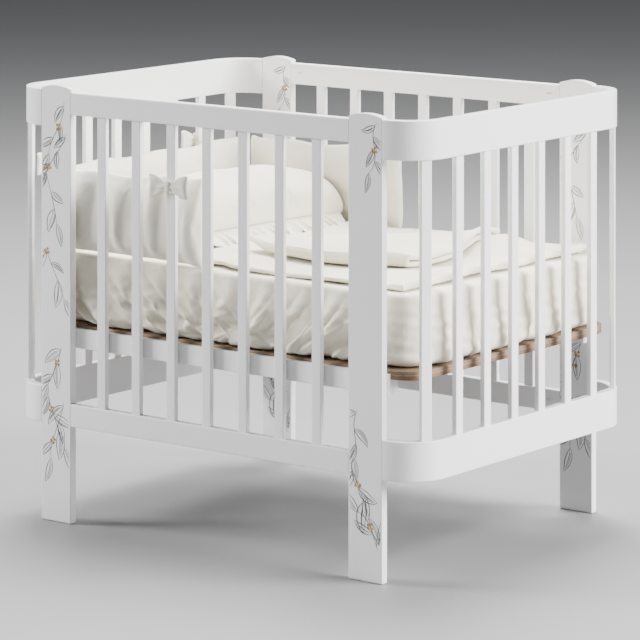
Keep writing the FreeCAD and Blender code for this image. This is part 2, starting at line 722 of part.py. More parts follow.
def make_cam_fittings():
    """Cam locks in the rails and the bolts that they draw in from the posts."""
    locks, bolts = [], []
    for corner, side_x, side_y in CORNERS:
        y = side_y * (outer_y - rail_middle)
        joint_x = side_x * (half_span - S.post_width)
        lock_x = joint_x - side_x * S.cam_from_end
        face_y = side_y * (outer_y - S.rail_thickness)
        for z in (S.bottom_rail_z + S.cam_z, S.top_rail_z + S.cam_z):
            drum = cylinder("cam_drum", S.cam_radius, S.cam_depth - S.pin_gap, lock_x, face_y, z,
                            side_y * ALONG_Y)
            mouth = cylinder("cam_mouth", S.cam_head_radius + S.pin_gap, S.cam_radius + 1, lock_x, y, z,
                             side_x * ALONG_X)
            turning_slot = doc.addObject("Part::Box", "cam_slot")
            slot_depth, slot_width = S.cam_depth / 6, S.cam_radius / 4
            bind(turning_slot, "Length", 2 * S.cam_radius)
            bind(turning_slot, "Width", slot_depth)
            bind(turning_slot, "Height", slot_width)
            low_y = face_y if side_y > 0 else face_y - slot_depth
            place(turning_slot, lock_x - S.cam_radius, low_y, z - slot_width / 2)
            locks.append(cut("cam_lock", drum, fuse("cam_hollow", [mouth, turning_slot])))
            shank = cylinder("cam_shank", S.cam_bolt_radius, S.dowel_reach + S.cam_from_end - 4,
                             joint_x + side_x * S.dowel_reach, y, z, -side_x * ALONG_X)
            head = cylinder("cam_head", S.cam_head_radius, S.cam_bolt_radius,
                            lock_x + side_x * S.cam_head_radius, y, z, side_x * ALONG_X)
            bolts.append(fuse("cam_bolt", [shank, head]))
    group("cam_locks", locks)
    group("cam_bolts", bolts)


def make_support_bolts():
    """Bolts of the support rails, drawn level with the rails' outer faces."""
    bolts = []
    for corner, side_x, side_y in CORNERS:
        x = side_x * post_middle
        shank = cylinder("support_shank", S.bolt_radius, S.support_depth, x, side_y * support_inner,
                         bolt_z, side_y * ALONG_Y)
        head = cylinder("support_head", S.bolt_head_radius, S.bolt_head_height,
                        x, side_y * support_inner, bolt_z, -side_y * ALONG_Y)
        key = cylinder("support_key", S.bolt_radius / 2, S.bolt_head_height / 2,
                       x, side_y * (support_inner - S.bolt_head_height), bolt_z, side_y * ALONG_Y)
        bolts.append(cut("support_bolt", fuse("support_blank", [shank, head]), key))
    group("support_bolts", bolts)


def make_inserts():
    """Threaded sleeves in the posts, one for each level of the base."""
    inserts = []
    for corner, side_x, side_y in CORNERS:
        for z in level_heights():
            x, y = side_x * post_middle, side_y * inner_y
            sleeve = cylinder("insert_sleeve", S.insert_radius, S.insert_length, x, y, z,
                              side_y * ALONG_Y)
            bore = cylinder("insert_bore", S.insert_bore, S.insert_length, x, y, z, side_y * ALONG_Y)
            inserts.append(cut("insert", sleeve, bore))
    group("height_inserts", inserts)


def make_panel_screws():
    """Flat-headed screws that hold the panel in its rebates."""
    screws = []
    for side in (-1, 1):
        for x in screw_places():
            shank = cylinder("screw_shank", S.screw_radius, S.screw_length, x, side * screw_y,
                             S.base_top_z - S.screw_length, ALONG_Z)
            head = cylinder("screw_head", S.screw_head_radius, S.screw_radius, x, side * screw_y,
                            S.base_top_z - S.screw_radius, ALONG_Z)
            screws.append(fuse("screw", [shank, head]))
    group("panel_screws", screws)


make_dowels()
make_cam_fittings()
make_support_bolts()
make_inserts()
make_panel_screws()

# ---------------------------------------------------------------- mattress and sheet

mattress_z = S.base_top_z + S.sheet_wall + S.sheet_gap
mattress_top = mattress_z + S.mattress_height
sheet_top = mattress_top + S.sheet_gap + S.sheet_wall
keep(rounded_block("mattress", mattress_half_x, mattress_half_y, S.mattress_height,
                   S.mattress_corner, S.mattress_round, 0, 0, mattress_z), "mattress")


def make_fitted_sheet():
    """A thin cover over the top and sides of the mattress, turned in under its edge."""
    reach = S.sheet_gap + S.sheet_wall
    skin = rounded_block("sheet_outside", mattress_half_x + reach, mattress_half_y + reach,
                         S.mattress_height + 2 * reach, S.mattress_corner + reach,
                         S.mattress_round + reach, 0, 0, S.base_top_z)
    space = rounded_block("sheet_inside", mattress_half_x + S.sheet_gap,
                          mattress_half_y + S.sheet_gap, S.mattress_height + 2 * S.sheet_gap,
                          S.mattress_corner + S.sheet_gap, S.mattress_round + S.sheet_gap,
                          0, 0, mattress_z - S.sheet_gap)
    mouth = new_body("sheet_mouth")
    sketch = new_sketch(mouth, "XY_Plane")
    rounded_rectangle(sketch, mattress_half_x - S.hem_inset, mattress_half_y - S.hem_inset,
                      S.mattress_corner)
    pad(mouth, sketch, 3 * reach)
    place(mouth, 0, 0, S.base_top_z - reach)
    keep(cut("fitted_sheet", skin, fuse("sheet_hollow", [space, mouth])), "fitted_sheet")


make_fitted_sheet()

# ---------------------------------------------------------------- blankets and pillow

blanket_z = sheet_top + S.soft_gap
blanket_half = (S.blanket_right - S.blanket_left) / 2
keep(rounded_block("blanket_lower", blanket_half, S.blanket_width / 2, S.blanket_height,
                   S.blanket_corner, S.blanket_round, (S.blanket_right + S.blanket_left) / 2, 0,
                   blanket_z), "blanket_lower")
fold_z = blanket_z + S.blanket_height + S.soft_gap
keep(rounded_block("blanket_folded", (S.fold_right - S.fold_left) / 2, (S.fold_back - S.fold_front) / 2,
                   S.fold_height, S.blanket_corner, S.fold_round, (S.fold_right + S.fold_left) / 2,
                   (S.fold_back + S.fold_front) / 2, fold_z), "blanket_folded")

pillow_z = sheet_top + S.soft_gap
keep(rounded_block("pillow", S.pillow_length / 2, S.pillow_width / 2, S.pillow_height, S.pillow_corner,
                   S.pillow_round, S.pillow_x, S.pillow_y, pillow_z), "pillow")


def make_flounce():
    """The ruffle round the pillow's seam: a flat ring, narrow where the bumpers squeeze it."""
    body = new_body("pillow_flounce")
    near, far = S.flounce_gap, S.flounce_gap + S.flounce_width
    more, shift = (far + S.flounce_squeezed) / 2, (far - S.flounce_squeezed) / 2
    sketch = new_sketch(body, "XY_Plane")
    half_x, half_y, corner = S.pillow_length / 2, S.pillow_width / 2, S.pillow_corner
    rounded_rectangle(sketch, half_x + more, half_y + more, corner + S.flounce_squeezed, (shift, -shift))
    rounded_rectangle(sketch, half_x + near, half_y + near, corner + near)
    pad(body, sketch, S.flounce_wall)
    place(body, S.pillow_x, S.pillow_y, pillow_z + S.flounce_z)
    keep(body, "pillow_flounce")


make_flounce()

# ---------------------------------------------------------------- bumpers

bumper_z = sheet_top + S.soft_gap
bumper_outer = inner_y - S.bumper_inset
bumper_middle = bumper_outer - S.bumper_depth / 2
bumper_end_x = end_x - S.band_thickness - S.bumper_inset
left_middle_x = -(bumper_end_x - S.bumper_depth / 2)
side_left = -(bumper_end_x - S.bumper_depth - S.bumper_corner_gap)


def make_bumper(label, half_x, half_y, x, y):
    """A padded cushion on edge."""
    corner = S.bumper_depth / 2 - S.edge_round
    keep(rounded_block(label, half_x, half_y, S.bumper_height, corner, S.bumper_round, x, y, bumper_z),
         label)


for name, side_y, right in (("front", -1, S.bumper_front_right), ("back", 1, S.bumper_back_right)):
    make_bumper(f"bumper_{name}", (right - side_left) / 2, S.bumper_depth / 2,
                (right + side_left) / 2, side_y * bumper_middle)
make_bumper("bumper_left", S.bumper_depth / 2, bend_y + S.bend_radius / 3, left_middle_x, 0)


def make_bow(label, x, y, z, turn, outwards):
    """A bow tied against the broad face of a slat: two loops, a knot and a band round the slat."""
    half_slat = S.slat_thickness / 2 + S.bow_gap
    half_knot = S.knot_width / 2
    # the parts of the bow are laid out along the slat's width and outwards from its face
    depth_middle = outwards * (half_slat + S.tie_wall + S.bow_depth / 2)
    pieces = []
    for side in (-1, 1):
        loop = new_body(f"{label}_loop")
        sketch = new_sketch(loop, "XZ_Plane", -depth_middle)
        near, far = side * half_knot / 2, side * S.bow_length / 2
        waist, tip = S.knot_height / 3, S.bow_height / 2
        outline(sketch, [(near, -waist), (far, -tip), (far, tip), (near, waist)])
        pad(loop, sketch, S.bow_depth, middle=True)
        pieces.append(loop)
    knot = new_body(f"{label}_knot")
    sketch = new_sketch(knot, "XZ_Plane", -depth_middle)
    rectangle(sketch, -half_knot, -S.knot_height / 2, half_knot, S.knot_height / 2)
    pad(knot, sketch, S.bow_depth + S.tie_wall, middle=True)
    pieces.append(knot)
    strap = new_body(f"{label}_strap")
    sketch = new_sketch(strap, "XY_Plane", -half_knot / 2)
    half_width = S.slat_width / 2 + S.bow_gap
    rectangle(sketch, -half_width - S.tie_wall, -half_slat - S.tie_wall,
              half_width + S.tie_wall, half_slat + S.tie_wall)
    rectangle(sketch, -half_width, -half_slat, half_width, half_slat)
    pad(strap, sketch, half_knot)
    pieces.append(strap)
    for piece in pieces:
        place(piece, x, y, z, turn)
    return fuse(label, pieces)


bow_z = bumper_z + S.bumper_height - S.bow_drop
third_slat = side_pitch * (2 - (S.side_slats - 1) / 2)
for name, side_y in (("front", -1), ("back", 1)):
    keep(make_bow(f"bow_{name}", third_slat, side_y * (outer_y - rail_middle), bow_z, 0, side_y),
         f"tie_{name}")
outer_slat = end_pitch * (S.end_slats - 1) / 2
group("ties_left", [make_bow("bow_left", -end_middle_x, side_y * outer_slat, bow_z, 90, -1)
                    for side_y in (-1, 1)])

# ---------------------------------------------------------------- check and write

doc.recompute()
for item in doc.Objects:
    if "Invalid" in item.State or "Error" in item.State:
        raise RuntimeError(f"{item.Label} failed: {item.State}")
for item in exported:
    if item.Shape.isNull() or not item.Shape.isValid():
        raise RuntimeError(f"{item.Label} has no valid shape")

os.makedirs("parts", exist_ok=True)
for item in exported:
    item.Shape.exportStep(f"parts/{item.Label}.step")
print(len(exported), "sub-parts written")
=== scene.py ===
import json
import math

import bmesh
import bpy
import numpy as np
from mathutils import Matrix, Vector


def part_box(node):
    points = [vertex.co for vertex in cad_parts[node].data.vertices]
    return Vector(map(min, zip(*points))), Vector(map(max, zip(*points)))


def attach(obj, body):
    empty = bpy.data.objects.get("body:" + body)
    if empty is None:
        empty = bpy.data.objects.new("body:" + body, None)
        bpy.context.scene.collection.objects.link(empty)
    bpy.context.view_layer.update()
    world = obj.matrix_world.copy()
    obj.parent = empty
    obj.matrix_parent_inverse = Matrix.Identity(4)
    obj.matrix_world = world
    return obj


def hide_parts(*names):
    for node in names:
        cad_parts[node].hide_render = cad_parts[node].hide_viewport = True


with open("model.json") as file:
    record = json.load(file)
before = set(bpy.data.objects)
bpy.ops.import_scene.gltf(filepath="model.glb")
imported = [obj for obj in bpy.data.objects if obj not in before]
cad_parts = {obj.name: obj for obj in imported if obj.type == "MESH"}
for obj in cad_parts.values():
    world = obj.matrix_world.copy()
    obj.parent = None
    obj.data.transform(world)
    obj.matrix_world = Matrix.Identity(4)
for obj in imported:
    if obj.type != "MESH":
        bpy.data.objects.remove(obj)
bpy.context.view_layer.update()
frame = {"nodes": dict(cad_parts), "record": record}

# ---------------------------------------------------------------- camera

CAMERA_PLACE = Vector((3.9919, -5.1766, 1.5418))
CAMERA_AZIMUTH = math.radians(37.638)
CAMERA_DROP = 0.17921
CAMERA_LENS = 197.32


def set_camera():
    """A long lens that looks down at the crib while its upright edges stay parallel.

    The sight line is forwards less CAMERA_DROP of up, and the image's own up is the world's,
    so the camera's axes lean like those of a view camera with its front lowered."""
    right = Vector((math.cos(CAMERA_AZIMUTH), math.sin(CAMERA_AZIMUTH), 0))
    forwards = Vector((-math.sin(CAMERA_AZIMUTH), math.cos(CAMERA_AZIMUTH), 0))
    up = Vector((0, 0, 1))
    back = (up * CAMERA_DROP - forwards).normalized()
    lean = Matrix((right, up, back)).transposed().to_4x4()
    lean.translation = CAMERA_PLACE
    camera = bpy.data.objects.new("camera", bpy.data.cameras.new("camera"))
    stand = bpy.data.objects.new("camera_stand", None)
    for item in (camera, stand):
        bpy.context.scene.collection.objects.link(item)
    camera.data.lens = CAMERA_LENS
    camera.data.clip_end = 200
    camera.parent = stand
    camera.matrix_parent_inverse = lean
    bpy.context.scene.camera = camera


set_camera()

# ---------------------------------------------------------------- finishes


class Finish:
    """A material whose patterns read the piece's own Object coordinates."""

    def __init__(self, name, colour, roughness, **sockets):
        """A plain surface. The sockets are more inputs of the shader, with _ for a space in a name."""
        self.material = bpy.data.materials.new(name)
        self.material.use_nodes = True
        self.tree = self.material.node_tree
        self.shader = self.tree.nodes["Principled BSDF"]
        self.shader.inputs["Base Color"].default_value = (*colour, 1)
        self.shader.inputs["Roughness"].default_value = roughness
        for socket, value in sockets.items():
            self.shader.inputs[socket.replace("_", " ")].default_value = value
        self.place = self.add("TexCoord").outputs["Object"]
        self.height = None

    def add(self, kind, inputs=None, **settings):
        """A node of that kind with its settings and inputs.

        An input is a number, a colour or another node's output."""
        node = self.tree.nodes.new("ShaderNode" + kind)
        for name, value in settings.items():
            setattr(node, name, value)
        for name, value in (inputs or {}).items():
            if isinstance(value, bpy.types.NodeSocket):
                self.tree.links.new(value, node.inputs[name])
            else:
                node.inputs[name].default_value = value
        return node

    def noise(self, scale, stretch=(1, 1, 1), detail=3, roughness=0.5):
        """Cloudy noise of so many cells to the metre, stretched by direction."""
        placed = self.add("Mapping", {"Vector": self.place, "Scale": stretch}).outputs["Vector"]
        return self.add("TexNoise", {"Vector": placed, "Scale": scale, "Detail": detail,
                                     "Roughness": roughness}).outputs["Fac"]

    def ramp(self, value, stops, interpolation="LINEAR"):
        """Colours by value: stops are (place, colour)."""
        node = self.add("ValToRGB", {"Fac": value})
        ramp = node.color_ramp
        ramp.interpolation = interpolation
        while len(ramp.elements) < len(stops):
            ramp.elements.new(0.5)
        for element, (place, colour) in zip(ramp.elements, stops):
            element.position, element.color = place, (*colour, 1)
        return node.outputs["Color"]

    def mix(self, share, first, second, blend="MIX"):
        """Two colours mixed by share."""
        node = self.add("Mix", data_type="RGBA", blend_type=blend)
        for key, value in ((0, share), (6, first), (7, second)):
            if isinstance(value, bpy.types.NodeSocket):
                self.tree.links.new(value, node.inputs[key])
            else:
                node.inputs[key].default_value = value if key == 0 else (*value, 1)
        return node.outputs[2]

    def scaled(self, value, low, high):
        """A 0 to 1 value spread between low and high."""
        return self.add("MapRange", {"Value": value, "To Min": low, "To Max": high}).outputs["Result"]

    def colour(self, output):
        """The surface takes its colour from output."""
        self.tree.links.new(output, self.shader.inputs["Base Color"])

    def gloss(self, output):
        """The surface takes its roughness from output."""
        self.tree.links.new(output, self.shader.inputs["Roughness"])

    def bump(self, height, distance, strength=1.0):
        """Relief of that height in metres, on top of any relief before it."""
        node = self.add("Bump", {"Height": height, "Distance": distance, "Strength": strength})
        if self.height is not None:
            self.tree.links.new(self.height, node.inputs["Normal"])
        self.height = node.outputs["Normal"]
        self.tree.links.new(self.height, self.shader.inputs["Normal"])


def white_lacquer():
    """Satin white spray lacquer: a faint orange peel over sanded wood."""
    lacquer = Finish("white_lacquer", (0.83, 0.83, 0.83), 0.3, Coat_Weight=0.25, Coat_Roughness=0.15)
    lacquer.colour(lacquer.mix(lacquer.noise(5), (0.80, 0.80, 0.805), (0.85, 0.85, 0.848)))
    lacquer.gloss(lacquer.scaled(lacquer.noise(9, detail=4), 0.26, 0.38))
    lacquer.bump(lacquer.noise(14, (1, 1, 6), detail=2), 0.0006, 0.5)
    lacquer.bump(lacquer.noise(420, detail=2), 0.00008, 0.4)
    return lacquer.material


def cover_plastic():
    """Moulded plastic, a little greyer and softer than the lacquer."""
    plastic = Finish("cover_plastic", (0.80, 0.80, 0.79), 0.42, IOR=1.46)
    plastic.colour(plastic.mix(plastic.noise(8), (0.78, 0.78, 0.77), (0.81, 0.81, 0.80)))
    plastic.gloss(plastic.scaled(plastic.noise(30), 0.38, 0.5))
    plastic.bump(plastic.noise(900, detail=2), 0.00005, 0.5)
    return plastic.material


def birch_plywood():
    """Plywood: layers by height, dark at the glue lines and one of them pale, with grain over all."""
    wood = Finish("birch_plywood", (0.4, 0.28, 0.18), 0.5)
    low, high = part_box("base_panel")
    height = wood.add("SeparateXYZ", {"Vector": wood.place}).outputs["Z"]
    level = wood.add("MapRange", {"Value": height, "From Min": low[2],
                                  "From Max": high[2]}).outputs["Result"]
    layers = wood.ramp(level, [(0.0, (0.16, 0.085, 0.045)), (0.10, (0.24, 0.145, 0.085)),
                               (0.30, (0.13, 0.07, 0.04)), (0.35, (0.25, 0.155, 0.095)),
                               (0.53, (0.42, 0.31, 0.205)), (0.60, (0.15, 0.09, 0.052)),
                               (0.65, (0.27, 0.18, 0.115)), (0.90, (0.25, 0.17, 0.11))], "CONSTANT")
    grain = wood.noise(26, (0.5, 9, 5), detail=6, roughness=0.6)
    shade = wood.ramp(grain, [(0.3, (0.66, 0.63, 0.60)), (0.7, (1.0, 1.0, 1.0))])
    wood.colour(wood.mix(1.0, layers, shade, "MULTIPLY"))
    wood.gloss(wood.scaled(grain, 0.42, 0.62))
    wood.bump(grain, 0.0003, 0.6)
    return wood.material


def beech():
    """Raw fluted beech."""
    wood = Finish("beech", (0.62, 0.42, 0.26), 0.6)
    grain = wood.noise(60, (1, 12, 12), detail=5)
    wood.colour(wood.mix(grain, (0.52, 0.33, 0.19), (0.72, 0.52, 0.34)))
    wood.bump(grain, 0.0004, 0.6)
    return wood.material


def plated(name, dark, light, roughness):
    """Turned and plated metal with fine tool marks."""
    metal = Finish(name, light, roughness, Metallic=1.0)
    marks = metal.noise(700, (1, 1, 0.15), detail=3)
    metal.colour(metal.mix(metal.noise(60), dark, light))
    metal.gloss(metal.scaled(marks, roughness - 0.08, roughness + 0.12))
    metal.bump(marks, 0.00005, 0.5)
    return metal.material


def cotton(name, shade, tint, sheen=0.25, weave=2600, relief=0.0001):
    """Woven cotton: crossing threads, slubs, and a soft nap.

    The threads are ridges of sin along each axis, so they show on faces that look any way."""
    cloth = Finish(name, tint, 0.78, Sheen_Weight=sheen, Sheen_Roughness=0.45, Specular_IOR_Level=0.25)
    cloud = cloth.noise(7, detail=3)
    slub = cloth.noise(220, (1, 4, 1), detail=3)
    cloth.colour(cloth.mix(cloth.scaled(cloud, 0.0, 1.0), shade, tint))
    cloth.gloss(cloth.scaled(slub, 0.68, 0.88))
    for direction in ("X", "Y", "Z"):
        threads = cloth.add("TexWave", {"Vector": cloth.place, "Scale": weave / 20, "Distortion": 1.2,
                                        "Detail": 1.0, "Detail Scale": 3.0}, bands_direction=direction)
        cloth.bump(threads.outputs["Fac"], relief, 0.35)
    cloth.bump(slub, 0.0004, 0.35)
    cloth.bump(cloth.noise(38, detail=4, roughness=0.6), 0.0016, 0.5)
    return cloth.material


def printed_ink():
    """Soft grey drawing ink under clear lacquer, fainter in places."""
    ink = Finish("drawing_ink", (0.2, 0.2, 0.21), 0.4, Coat_Weight=0.2)
    ink.colour(ink.ramp(ink.noise(45, detail=2), [(0.35, (0.03, 0.03, 0.034)), (0.68, (0.15, 0.15, 0.16))]))
    ink.bump(ink.noise(600), 0.00004, 0.5)
    return ink.material


def berry_gold():
    """Golden brown of the printed berries."""
    berry = Finish("berry_gold", (0.42, 0.25, 0.08), 0.4, Coat_Weight=0.2)
    stops = [(0.38, (0.16, 0.08, 0.03)), (0.62, (0.55, 0.34, 0.12))]
    berry.colour(berry.ramp(berry.noise(320, detail=2), stops))
    berry.bump(berry.noise(600), 0.00004, 0.5)
    return berry.material


def studio_floor():
    """A plain grey floor with a faint unevenness."""
    floor = Finish("studio_floor", (0.3, 0.3, 0.3), 0.55)
    floor.colour(floor.mix(floor.noise(1.5), (0.225, 0.225, 0.228), (0.25, 0.25, 0.25)))
    floor.bump(floor.noise(60), 0.0002, 0.3)
    return floor.material


LACQUER = white_lacquer()
INK, BERRY = printed_ink(), berry_gold()
SHEET_COTTON = cotton("sheet_cotton", (0.72, 0.68, 0.56), (0.80, 0.76, 0.64))
BLANKET_COTTON = cotton("blanket_cotton", (0.73, 0.69, 0.575), (0.81, 0.77, 0.65))
PILLOW_COTTON = cotton("pillow_cotton", (0.74, 0.70, 0.58), (0.82, 0.78, 0.66), sheen=0.2)
BUMPER_COTTON = cotton("bumper_cotton", (0.73, 0.70, 0.60), (0.81, 0.78, 0.68))
TICKING = cotton("mattress_cover", (0.72, 0.71, 0.69), (0.79, 0.78, 0.76), weave=700, relief=0.0004)

CAD_FINISHES = {
    "white_lacquer": LACQUER, "birch_plywood": birch_plywood(), "cover_plastic": cover_plastic(),
    "beech": beech(), "zinc": plated("zinc", (0.5, 0.51, 0.53), (0.68, 0.69, 0.71), 0.32),
    "brass": plated("brass", (0.55, 0.38, 0.14), (0.78, 0.58, 0.28), 0.3)}
slot_of = {row["node"]: row["material_slot"] for row in frame["record"]["subparts"]}
for node, item in frame["nodes"].items():
    finish = CAD_FINISHES.get(slot_of[node])
    if finish is not None:
        for held in item.material_slots:
            held.material = finish

# ---------------------------------------------------------------- mesh tools

TINY = 1e-12
PUFF_FRAMES = 20


def grid_faces(rows, columns, wrap_rows=False, wrap_columns=False):
    """Quads between neighbouring rows and columns of a grid of points, as point numbers."""
    i, j = np.meshgrid(np.arange(rows if wrap_rows else rows - 1),
                       np.arange(columns if wrap_columns else columns - 1), indexing="ij")
    k, m = (i + 1) % rows, (j + 1) % columns
    return np.stack([i * columns + j, k * columns + j, k * columns + m, i * columns + m], -1).reshape(-1, 4)


def make_piece(name, parts, finishes, weld=2e-5, smooth=True):
    """An object at the origin from parts, each (points, faces, finish number)."""
    points, faces, marks, start = [], [], [], 0
    for part_points, part_faces, mark in parts:
        part_points = part_points.reshape(-1, 3)
        points.append(part_points)
        faces.append(part_faces + start)
        marks += [mark] * len(part_faces)
        start += len(part_points)
    mesh = bpy.data.meshes.new(name)
    mesh.from_pydata(np.concatenate(points).tolist(), [], np.concatenate(faces).tolist())
    mesh.polygons.foreach_set("material_index", np.array(marks, np.int32))
    work = bmesh.new()
    work.from_mesh(mesh)
    bmesh.ops.remove_doubles(work, verts=work.verts, dist=weld)
    bmesh.ops.recalc_face_normals(work, faces=work.faces)
    work.to_mesh(mesh)
    work.free()
    mesh.polygons.foreach_set("use_smooth", np.full(len(mesh.polygons), smooth))
    piece = bpy.data.objects.new(name, mesh)
    bpy.context.scene.collection.objects.link(piece)
    for finish in finishes:
        mesh.materials.append(finish)
    return piece


def normals_of(middle):
    """Unit normals of a grid of points: the cross product of its two tangents."""
    across = np.cross(np.gradient(middle, axis=0), np.gradient(middle, axis=1))
    return across / np.maximum(np.linalg.norm(across, axis=2, keepdims=True), TINY)


def shell(middle, half_thickness):
    """A closed skin: the middle surface plus and minus half its thickness along its normal.

    Where the thickness falls to nothing, at the rim, the two faces are welded into one seam."""
    reach = normals_of(middle) * np.asarray(half_thickness)[..., None]
    faces = grid_faces(*middle.shape[:2])
    return [(middle + reach, faces, 0), (middle - reach, faces, 0)]


def spread(count):
    """count numbers from -1 to 1, set close near both ends: sin of an even spread."""
    return np.sin(np.linspace(-math.pi / 2, math.pi / 2, count))


def rim_fade(distance, radius):
    """Quarter-round falling to nothing at the rim: the root of 1 less (1 - distance / radius) squared."""
    part = np.clip(distance / radius, 0, 1)
    return np.sqrt(np.maximum(1 - (1 - part) ** 2, 0))


def smoothstep(value, low, high):
    """0 up to low, 1 from high on, and 3 t squared less 2 t cubed between. Low may be the larger."""
    part = np.clip((value - low) / (high - low), 0, 1)
    return part * part * (3 - 2 * part)


def waves(x, y, seed, count=6, longest=0.3, shortest=0.06):
    """Soft unevenness between about -1 and 1: a sum of sine waves in random directions."""
    random = np.random.default_rng(seed)
    total = np.zeros_like(np.asarray(x + y, float))
    for turn, phase, size in zip(random.uniform(0, math.pi, count), random.uniform(0, 2 * math.pi, count),
                                 np.geomspace(longest, shortest, count)):
        total += np.sin((x * math.cos(turn) + y * math.sin(turn)) * 2 * math.pi / size + phase) * size
    return total / longest


def ring_path(half_x, half_y, corner, count):
    """Evenly spaced points round a rounded rectangle, with outward normals and the run so far."""
    turn = np.linspace(0, math.pi / 2, 13)
    angles = np.concatenate([turn + quarter * math.pi / 2 for quarter in range(4)])
    centre_x = np.repeat([1, -1, -1, 1], 13) * (half_x - corner)
    centre_y = np.repeat([1, 1, -1, -1], 13) * (half_y - corner)
    x, y = centre_x + corner * np.cos(angles), centre_y + corner * np.sin(angles)
    x, y, angles = np.append(x, x[0]), np.append(y, y[0]), np.append(angles, 2 * math.pi)
    run = np.concatenate([[0], np.cumsum(np.hypot(np.diff(x), np.diff(y)))])
    at = np.linspace(0, run[-1], count, endpoint=False)
    angle = np.interp(at, run, angles)
    points = np.stack([np.interp(at, run, x), np.interp(at, run, y)], -1)
    return points, np.stack([np.cos(angle), np.sin(angle)], -1), at


def fresh_mesh(piece):
    """The piece's mesh with its modifiers worked out."""
    return bpy.data.meshes.new_from_object(piece.evaluated_get(bpy.context.evaluated_depsgraph_get()))


def points_of(mesh):
    """The mesh's points, one to a row."""
    points = np.empty(len(mesh.vertices) * 3)
    mesh.vertices.foreach_get("co", points)
    return points.reshape(-1, 3)


def set_points(mesh, points):
    """The mesh with its points moved to these."""
    mesh.vertices.foreach_set("co", points.ravel())
    mesh.update()


def puff(piece, voxel, pressure, most):
    """Cloth under air pressure: the skin is remeshed evenly, blown for PUFF_FRAMES without gravity,
    and each point's move is held to most."""
    remesh = piece.modifiers.new("even_skin", "REMESH")
    remesh.mode, remesh.voxel_size = "VOXEL", voxel
    even = fresh_mesh(piece)
    piece.modifiers.clear()
    finishes = list(piece.data.materials)
    piece.data = even
    start = points_of(even)
    cloth = piece.modifiers.new("blow", "CLOTH")
    cloth.settings.quality = 5
    cloth.settings.mass = 0.2
    cloth.settings.tension_stiffness = cloth.settings.compression_stiffness = 12
    cloth.settings.bending_stiffness = 0.3
    cloth.settings.use_pressure = True
    cloth.settings.uniform_pressure_force = pressure
    cloth.settings.effector_weights.gravity = 0
    for step in range(1, PUFF_FRAMES + 1):
        bpy.context.scene.frame_set(step)
    move = points_of(fresh_mesh(piece)) - start
    length = np.linalg.norm(move, axis=1, keepdims=True)
    piece.modifiers.clear()
    bpy.context.scene.frame_set(1)
    set_points(even, start + move * np.minimum(1, most / np.maximum(length, TINY)))
    even.materials.clear()
    for finish in finishes:
        even.materials.append(finish)
    even.polygons.foreach_set("use_smooth", np.full(len(even.polygons), True))


def settle(piece, low, high, shaped=None):
    """The piece scaled along each axis to fill its space, then shaped further and subdivided once."""
    points = points_of(piece.data)
    least, greatest = points.min(0), points.max(0)
    points = low + (points - least) / (greatest - least) * (high - low)
    if shaped is not None:
        points = shaped(points)
    set_points(piece.data, points)
    finer = piece.modifiers.new("finer", "SUBSURF")
    finer.levels = finer.render_levels = 1


# ---------------------------------------------------------------- mattress and fitted sheet

mattress_low, mattress_high = (np.array(corner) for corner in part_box("mattress"))
sheet_low, sheet_high = (np.array(corner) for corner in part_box("fitted_sheet"))
SHEET_TOP = sheet_high[2]
SHEET_SIDE = 0.13
FOLD_HEIGHT = 0.0255
FOLD_VALLEY = 0.25
END_FOLD_VALLEY = 0.2
FINE_FOLD_HEIGHT = 0.0055
END_FOLD_HEIGHT = 0.0120
END_FINE_FOLD_HEIGHT = 0.0030
UNEVENNESS = 0.0010
FURTHEST_IN = -0.0004
FURTHEST_OUT = 0.0200


def cushion_rings(half_x, half_y, corner, low, high, edge, count, tuck, top_rings, side_rings):
    """Stacked rings round a block: in under it, round its lower edge, up its side, over its top edge, in.

    The lower edge is a quarter ellipse, tuck wide and edge plus 4 mm high, and the upper a quarter
    circle. Each ring is the rounded outline moved in along its normals. Gives the grid of points,
    rings by points round, the outline, its normals and run, and the number of rings below the flat
    top."""
    outline, normal, run = ring_path(half_x, half_y, corner, count)
    curve = np.linspace(0, math.pi / 2, 9)
    lift = edge + 0.004
    inwards = np.concatenate([[tuck + 0.02, tuck + 0.01], tuck * (1 - np.sin(curve)),
                              np.zeros(side_rings), edge * (1 - np.cos(curve))])
    level = np.concatenate([[low, low], low + lift * (1 - np.cos(curve)),
                            np.linspace(low + lift, high - edge, side_rings + 2)[1:-1],
                            high - edge * (1 - np.sin(curve))])
    plan = outline[None] - normal[None] * inwards[:, None, None]
    grid = np.concatenate([plan, np.broadcast_to(level[:, None, None], (*plan.shape[:2], 1))], -1)
    share = (1 - np.linspace(0, 1, top_rings + 1)[1:]) ** 0.8
    top = grid[-1:] * np.array([1, 1, 0]) * share[:, None, None] + np.array([0, 0, high])
    return np.concatenate([grid, top]), outline, normal, run, len(level)


def mattress_shape():
    """The block of the mattress, closed underneath: its underside rings run in to the middle."""
    half = (mattress_high - mattress_low) / 2
    grid, *_ = cushion_rings(half[0], half[1], corner=0.062, low=mattress_low[2], high=mattress_high[2],
                             edge=0.0115, count=200, tuck=0.036, top_rings=6, side_rings=6)
    closing = grid[:1] * np.array([1, 1, 0]) * np.linspace(0, 1, 6)[:-1, None, None]
    return np.concatenate([closing + np.array([0, 0, mattress_low[2]]), grid])


def add_mattress():
    """The mattress in its ticking."""
    grid = mattress_shape()
    piece = make_piece("mattress_block", [(grid, grid_faces(*grid.shape[:2], False, True), 0)], [TICKING])
    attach(piece, "base")
    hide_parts("mattress")


